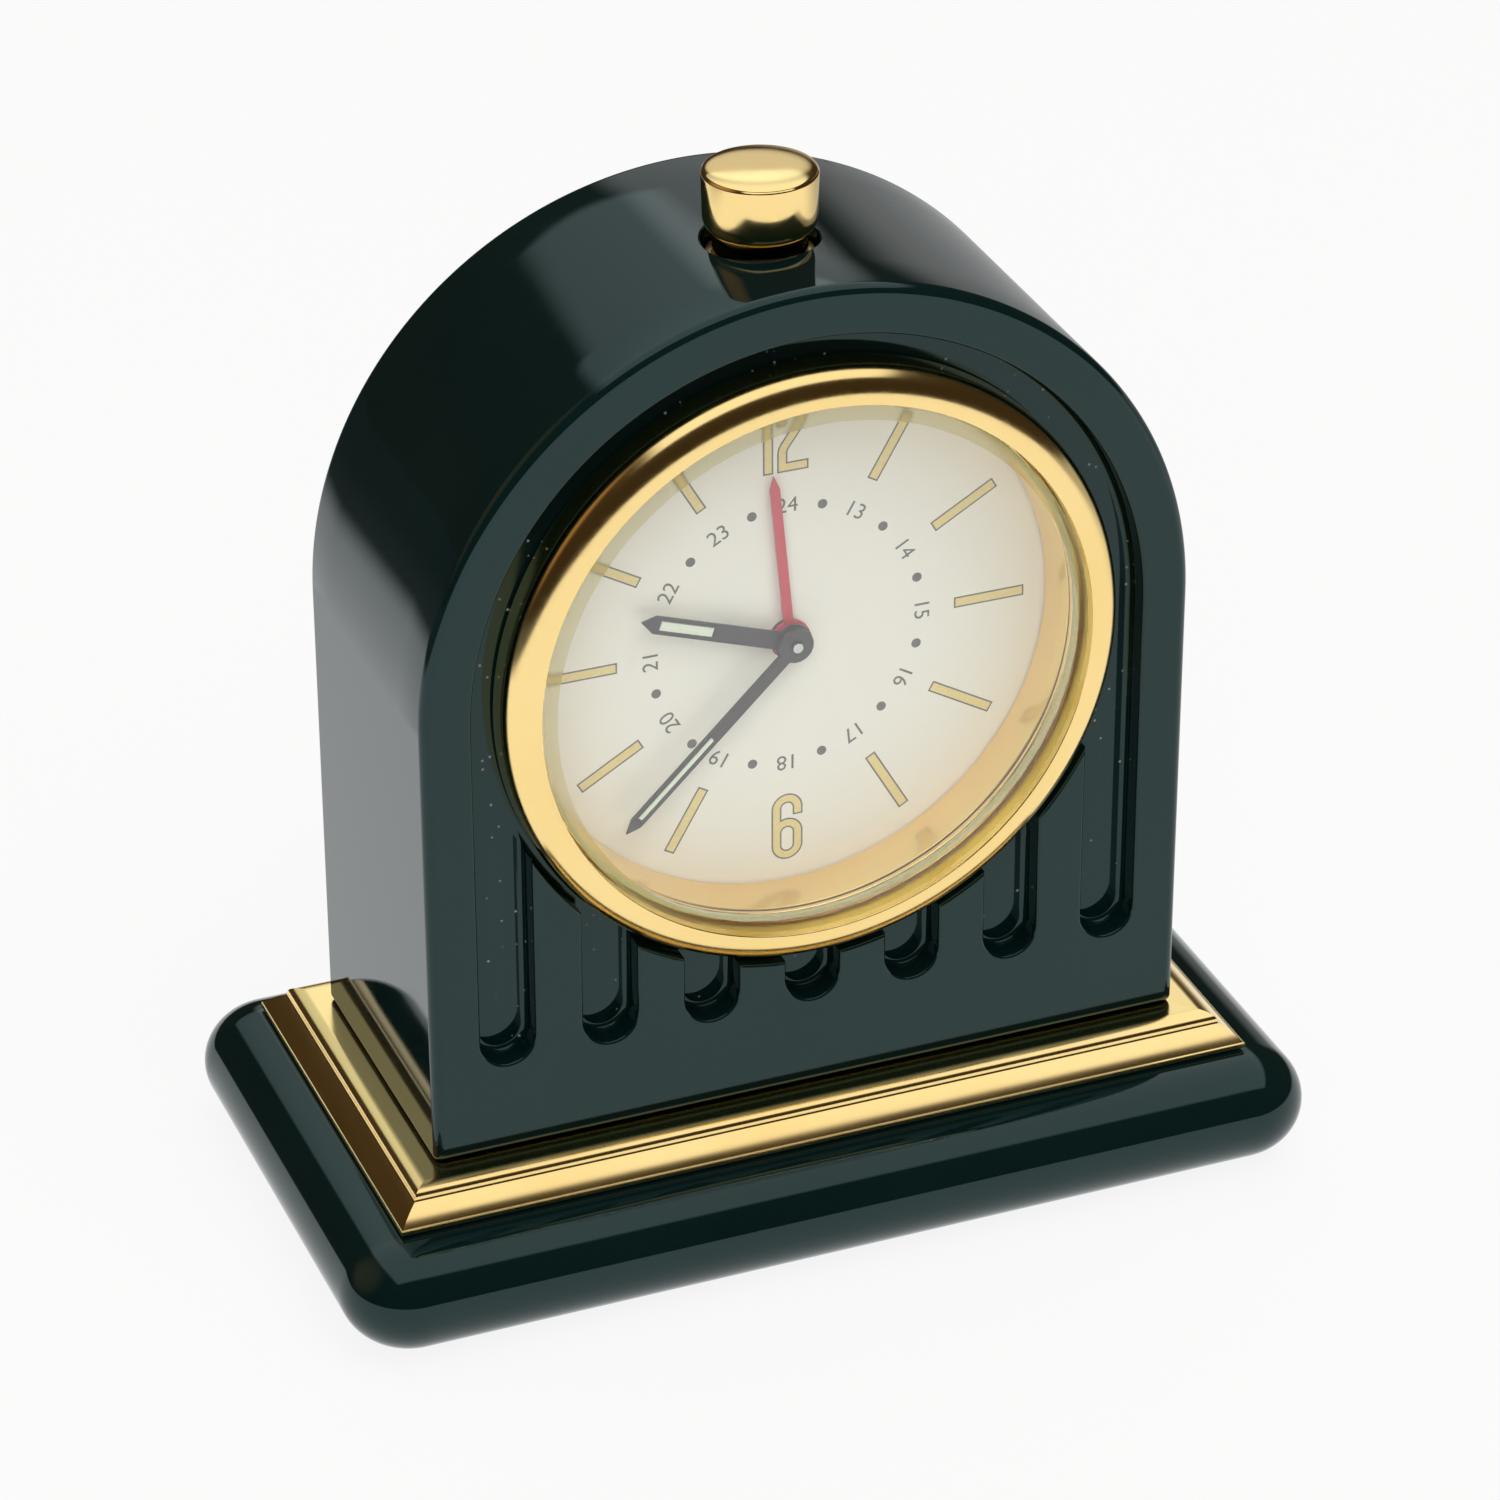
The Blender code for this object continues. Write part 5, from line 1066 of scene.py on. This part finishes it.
def door_opening(grow):
    """Opening for the door, with notches for its hinge pins."""
    side = DOOR_HALF + GAP + grow
    pin_side = side + DOOR_PIN_LENGTH
    pin = DOOR_PIN + GAP + grow
    low = -DOOR_AXIS_DROP - DOOR_THICK / 2 - GAP - grow
    high = DOOR_RISE - DOOR_AXIS_DROP + GAP + grow
    right = [(side, low), (side, -DOOR_AXIS_DROP - pin), (pin_side, -DOOR_AXIS_DROP - pin),
             (pin_side, pin - DOOR_AXIS_DROP), (side, pin - DOOR_AXIS_DROP), (side, high)]
    return right + [(-x, y) for x, y in reversed(right)]


def build_back_panel():
    """Back cover with its holes, its door opening and a collar round each knob."""
    bm = bmesh.new()
    outer = [ring(bm, arch(COVER_RADIUS, COVER_DROP), COVER_FRONT)]
    for across, back in quarter(COVER_EDGE, 0, 90):
        inset = COVER_EDGE - across
        outline = arch(COVER_RADIUS - inset, COVER_DROP - inset)
        outer.append(ring(bm, outline, CASE_DEPTH - COVER_EDGE + back))
    rounds = [(axis, SPINDLE_HOLE) for axis in KNOB_AXES.values()]
    rounds += [(spot, SCREW_RADIUS + GAP) for spot in screw_places()]
    rounds.append((SOUNDER_AT, SOUND_HOLE))
    for number in range(SOUND_HOLES):
        angle = TAU * number / SOUND_HOLES
        spot = (SOUNDER_AT[0] + SOUND_RING * math.cos(angle), SOUNDER_AT[1] + SOUND_RING * math.sin(angle))
        rounds.append((spot, SOUND_HOLE))
    grown = (0.0, 0.0, COVER_EDGE)
    depths = (COVER_FRONT, CASE_DEPTH - COVER_EDGE, CASE_DEPTH)
    loops = [[door_opening(grow) for grow in grown]]
    loops += [[circle(radius + grow, HOLE_STEPS, spot) for grow in grown] for spot, radius in rounds]
    fronts = []
    backs = []
    for outlines in loops:
        rings = [ring(bm, outline, depth) for outline, depth in zip(outlines, depths)]
        loft(bm, rings)
        fronts.append(rings[0])
        backs.append(rings[-1])
    loft(bm, outer)
    span(bm, outer[0], *fronts)
    span(bm, outer[-1], *backs)
    for axis in KNOB_AXES.values():
        collar = [(COLLAR_RADIUS - COLLAR_HALF, CASE_DEPTH - GAP)]
        collar += arc((COLLAR_RADIUS, CASE_DEPTH), COLLAR_HALF, COLLAR_HALF, 180, 0, EDGE_STEPS)
        collar.append((COLLAR_RADIUS + COLLAR_HALF, CASE_DEPTH - GAP))
        turned(collar, COLLAR_STEPS, shifted(axis), closed=True, bm=bm)
    piece("back_panel", bm, (BLACK,), stands_for=["back_cover"])


def screw_places():
    """Middles of the cover's screws, two low at the sides and two up the arch."""
    slope = SCREW_REACH * math.sqrt(0.5)
    return [(SCREW_REACH, SCREW_BELOW), (-SCREW_REACH, SCREW_BELOW), (slope, slope), (-slope, slope)]


def build_screws():
    """Round-headed screws with a cross slot, turned by different amounts."""
    head = CASE_DEPTH + GAP
    names = []
    bm = bmesh.new()
    slots = bmesh.new()
    for number, spot in enumerate(screw_places()):
        names.append(f"cover_screw_{number + 1}")
        profile = [(0.0, SCREW_TIP), (SCREW_RADIUS, SCREW_TIP), (SCREW_RADIUS, head), (SCREW_HEAD, head)]
        rise = SCREW_HEAD_HEIGHT - SCREW_SIDE
        profile += arc((0.0, head + SCREW_SIDE), SCREW_HEAD, rise, 0, 90, CORNER_STEPS)[:-1]
        profile.append((0.0, head + SCREW_HEAD_HEIGHT))
        turned(profile, SCREW_STEPS, shifted(spot), bm=bm)
        turn = SLOT_TURN + SLOT_TURN_STEP * number
        cross = []
        for arm in range(4):
            angle = turn + arm * TAU / 4
            along = Vector((math.cos(angle), math.sin(angle)))
            across = Vector((-along.y, along.x)) * SLOT_WIDE
            cross += [along * SLOT_WIDE - across, along * SLOT_LONG - across, along * SLOT_LONG + across]
        cross = [tuple(Vector(spot) + point) for point in cross]
        low = head + SCREW_HEAD_HEIGHT / 2
        rings = [ring(slots, cross, low), ring(slots, cross, head + 2 * SCREW_HEAD_HEIGHT)]
        loft(slots, rings, capped=True)
    piece("cover_screws", bm, (STEEL,), stands_for=names, tool=slots)


def knob_outline(radius, groove):
    """Circle with a finger groove between each two lobes."""
    points = []
    steps = KNOB_LOBES * LOBE_STEPS
    for k in range(steps):
        angle = TAU * k / steps
        notch = (0.5 + 0.5 * math.cos(KNOB_LOBES * angle - 0.75 * TAU)) ** 2
        reach = radius - groove * notch
        points.append((reach * math.cos(angle), reach * math.sin(angle)))
    return points


def build_knobs():
    """Grooved setting knobs with a dished face."""
    near = CASE_DEPTH + GAP
    far = near + KNOB_HEIGHT
    sections = [(KNOB_BORE, near, 0.0), (KNOB_RADIUS - KNOB_EDGE, near, 1.0),
                (KNOB_RADIUS, near + KNOB_EDGE, 1.0)]
    shoulder = (KNOB_RADIUS - KNOB_ROUND, far - KNOB_ROUND)
    for across, up in arc(shoulder, KNOB_ROUND, KNOB_ROUND, 0, 90, EDGE_STEPS):
        sections.append((across, up, 1.0 - (up - far + KNOB_ROUND) / KNOB_ROUND))
    sections += [(radius, far - deep, 0.0) for radius, deep in KNOB_FACE]
    for label, axis in KNOB_AXES.items():
        bm = bmesh.new()
        at = shifted(axis)
        rings = []
        for radius, depth, share in sections:
            rings.append(ring(bm, knob_outline(radius, KNOB_GROOVE * share), depth, at))
        loft(bm, rings, closed=True)
        piece(f"{label}_knob_cap", bm, (KNOB_BLACK,), f"{label}_setting",
              [f"{label}_set_knob"])


def at_door(rise, front, x):
    """Places on the door about its hinge pins' axis."""
    return (x, FRONT_Y + DOOR_AXIS_DEPTH - front, DIAL_Z - DOOR_AXIS_DROP + rise)


def build_door():
    """Battery door on two pins, with a finger lip and grip ridges on its outer face."""
    half = DOOR_THICK / 2
    profile = [(0.0, half), (DOOR_RISE, half), (DOOR_RISE, -half), (DOOR_RISE - half, -2 * half)]
    profile += [(DOOR_RISE - 2 * half, -2 * half), (DOOR_RISE - 3 * half, -half)]
    for number in range(DOOR_RIDGES):
        top = DOOR_RISE - DOOR_RIDGE_FROM * half - number * DOOR_RIDGE_PITCH * DOOR_RIDGE
        ridge = arc((top, 0.0), DOOR_RIDGE, DOOR_RIDGE, 0, 180, RIDGE_STEPS)
        profile += [(rise, -half - out) for rise, out in ridge]
    profile += arc((0.0, 0.0), half, half, 270, 90, CORNER_STEPS)[:-1]
    profile = eased(profile, DOOR_EDGE)
    bm = bmesh.new()
    middle = DOOR_RISE / 2
    plain = DOOR_HALF - DOOR_EDGE
    rings = []
    for x, inset in ((-DOOR_HALF, DOOR_EDGE), (-plain, 0.0), (plain, 0.0), (DOOR_HALF, DOOR_EDGE)):
        outline = [(middle + (rise - middle) * (1 - inset / middle), front * (1 - inset / half))
                   for rise, front in profile]
        rings.append(ring(bm, outline, x, at_door))
    loft(bm, rings, capped=True)
    for side in (-1, 1):
        start = side * (DOOR_HALF - GAP)
        end = side * (DOOR_HALF + DOOR_PIN_LENGTH)
        pin = [(0.0, start), (DOOR_PIN, start), (DOOR_PIN, end), (0.0, end)]
        turned(pin, HOLE_STEPS, at_door, bm=bm)
    piece("door_panel", bm, (BLACK,), "battery_door", ["battery_door"])


def build_felt():
    """Felt cut to the plinth's pocket and laid in it, with soft edges and a slight unevenness."""
    bm = bmesh.new()
    rings = []
    half_thick = FELT_THICK / 2
    for across, up in arc((0.0, 0.0), FELT_EDGE, half_thick, 90, -90, EDGE_STEPS):
        inset = FELT_EDGE - across
        rings.append(ring(bm, rounded_rectangle(FELT_HALF, FELT_CORNER, inset), half_thick + up, level))
    loft(bm, rings)
    bm.faces.new(rings[0])
    inner = []
    waves_x, waves_y, shift = FELT_WAVES
    for share in FELT_ROWS:
        verts = []
        for x, y in rounded_rectangle([half * share for half in FELT_HALF], FELT_CORNER * share):
            wave = FELT_WAVE * math.sin(waves_x * x + shift * share) * math.cos(waves_y * y)
            verts.append(bm.verts.new((x, y, FELT_WAVE + wave)))
        inner.append(verts)
    loft(bm, [rings[-1]] + inner)
    bm.faces.new(inner[-1])
    made = piece("felt_sheet", bm, (FELT,), stands_for=["felt_pad"])


# Carried-over pieces

def paint_nodes():
    """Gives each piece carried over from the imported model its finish, which is steel unless named."""
    finishes = (
        (HAND_BLACK, "hour_hand minute_hand"),
        (LUME, "hour_hand_lume minute_hand_lume"),
        (HAND_RED, "alarm_hand"),
        (GASKET, "crystal_gasket"),
        (BRASS, "bezel_ring_nut centre_wheel third_wheel intermediate_wheel minute_wheel hour_wheel "
                "alarm_wheel alarm_spindle button_bush"),
        (MAGNET, "rotor"),
        (COPPER, "coil_winding"),
        (BOARD, "circuit_board"),
        (SLEEVE, "battery"),
        (CREAM, "movement_frame movement_rear_plate coil_bobbin"),
        (BLACK, "timer_chip alarm_sounder"),
    )
    chosen = {name: material for material, names in finishes for name in names.split()}
    for name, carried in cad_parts.items():
        carried.data.materials.clear()
        carried.data.materials.append(chosen.get(name, STEEL))


# Stage, light and camera

def build_floor():
    """White floor that glows for the camera and for reflections, and keeps the object's shadow."""
    mesh = bpy.data.meshes.new("floor")
    corners = [(x * FLOOR_REACH, y * FLOOR_REACH, 0.0) for x, y in ((-1, -1), (1, -1), (1, 1), (-1, 1))]
    mesh.from_pydata(corners, [], [(0, 1, 2, 3)])
    floor = add("floor", mesh)
    made, tree, _ = new_material("floor_white")
    tree.nodes.clear()
    path = node(tree, "ShaderNodeLightPath").outputs
    glossy = maths(tree, 'MAXIMUM', path["Is Glossy Ray"], path["Is Transmission Ray"])
    seen = maths(tree, 'MULTIPLY', path["Is Camera Ray"], FLOOR_GLOW)
    share = maths(tree, 'MAXIMUM', seen, glossy)
    place = node(tree, "ShaderNodeNewGeometry").outputs["Position"]
    reach = vector_maths(tree, 'DOT_PRODUCT', place, FLOOR_FADE)
    near = ramp(tree, reach, FLOOR_WHITE, FLOOR_END, 1.0, FLOOR_FAR)
    side = vector_maths(tree, 'DOT_PRODUCT', place, FLOOR_SIDE)
    half = ramp(tree, side, FLOOR_SIDE_FROM, FLOOR_SIDE_TO, 1.0, FLOOR_SIDE_BRIGHT)
    bright = maths(tree, 'MAXIMUM', maths(tree, 'MULTIPLY', near, half), path["Is Camera Ray"])
    matt = node(tree, "ShaderNodeBsdfDiffuse", Color=FLOOR_COLOUR).outputs[0]
    glow = node(tree, "ShaderNodeEmission", Color=(*WHITE, 1.0), Strength=bright).outputs[0]
    mixed = node(tree, "ShaderNodeMixShader", _0=share, _1=matt, _2=glow).outputs[0]
    node(tree, "ShaderNodeOutputMaterial", Surface=mixed)
    mesh.materials.append(made)


def ceiling_card(tree, toward):
    """Light of a level card overhead that reaches down behind the object."""
    axes = node(tree, "ShaderNodeSeparateXYZ", _0=toward).outputs
    high = maths(tree, 'MAXIMUM', axes["Z"], HORIZON)
    across = maths(tree, 'DIVIDE', axes["X"], high)
    along = maths(tree, 'DIVIDE', axes["Y"], high)
    shown = ramp(tree, along, CARD_FAR_FROM, CARD_ALONG[1], CARD_BRIGHT, CARD_BRIGHT * CARD_FAR)
    for value, (first, last) in ((across, CARD_ACROSS), (along, CARD_ALONG)):
        shown = maths(tree, 'MULTIPLY', shown, ramp(tree, value, first - CARD_SOFT, first))
        shown = maths(tree, 'MULTIPLY', shown, ramp(tree, value, last + CARD_SOFT, last))
    tint = blend(tree, ramp(tree, along, CARD_FAR_FROM, CARD_TINT_TO), WHITE, CARD_FAR_COLOUR)
    return node(tree, "ShaderNodeBackground", Color=tint, Strength=shown).outputs[0]


def soft_boxes(tree, toward, boxes, colour):
    """Light of round glows of one colour."""
    total = 0.0
    for direction, edge, heart, strength in boxes:
        aim = tuple(Vector(direction).normalized())
        near = vector_maths(tree, 'DOT_PRODUCT', toward, aim)
        glow = ramp(tree, near, math.cos(math.radians(edge)), math.cos(math.radians(heart)), 0.0, strength)
        total = maths(tree, 'ADD', glow, total)
    return node(tree, "ShaderNodeBackground", Color=(*colour, 1.0), Strength=total).outputs[0]


def build_light():
    """World with its card and soft boxes, and the fill lamps."""
    world = bpy.data.worlds.new("studio")
    bpy.context.scene.world = world
    world.use_nodes = True
    tree = world.node_tree
    tree.nodes.clear()
    toward = node(tree, "ShaderNodeTexCoord").outputs["Generated"]
    sky = node(tree, "ShaderNodeBackground", Color=(*DIM, 1.0), Strength=1.0).outputs[0]
    for light in (ceiling_card(tree, toward), soft_boxes(tree, toward, SOFT_BOXES, WHITE),
                  soft_boxes(tree, toward, WARM_BOXES, WARM_COLOUR)):
        sky = node(tree, "ShaderNodeAddShader", _0=sky, _1=light).outputs[0]
    node(tree, "ShaderNodeOutputWorld", Surface=sky)
    for number, (place, side, watts) in enumerate(FILL_LAMPS):
        light = bpy.data.lights.new(f"fill_{number}", 'AREA')
        light.size = side
        light.energy = watts
        lamp = add(f"fill_{number}", light)
        lamp.location = place
        lamp.rotation_euler = Vector(place).to_track_quat('Z', 'Y').to_euler()
        lamp.visible_glossy = False
        lamp.visible_camera = False


def build_camera():
    """Camera at the photograph's viewing angle."""
    forward = Vector((math.sin(CAMERA_YAW) * math.cos(CAMERA_PITCH),
                      math.cos(CAMERA_YAW) * math.cos(CAMERA_PITCH), -math.sin(CAMERA_PITCH)))
    level_right = Vector((math.cos(CAMERA_YAW), -math.sin(CAMERA_YAW), 0.0))
    up = level_right.cross(forward)
    right = level_right * math.cos(CAMERA_ROLL) + up * math.sin(CAMERA_ROLL)
    up = up * math.cos(CAMERA_ROLL) - level_right * math.sin(CAMERA_ROLL)
    lens = bpy.data.cameras.new("camera")
    lens.sensor_width = SENSOR_MM
    lens.lens = FOCAL_PIXELS / FRAME_PIXELS * SENSOR_MM
    lens.clip_start = 0.01
    lens.clip_end = 100.0
    camera = add("camera", lens)
    turn = Matrix((right, up, -forward)).transposed().to_4x4()
    camera.matrix_world = Matrix.Translation(CAMERA_AT) @ turn
    bpy.context.scene.camera = camera
    bpy.context.scene.view_settings.view_transform = 'Standard'


for build in (build_camera, build_floor, build_light, paint_nodes, build_case, build_plinth, build_moulding,
              build_bezel, build_glass, build_dial, build_print, build_small_figures, build_button,
              build_spring, build_back_panel, build_screws, build_knobs, build_door, build_felt):
    build()
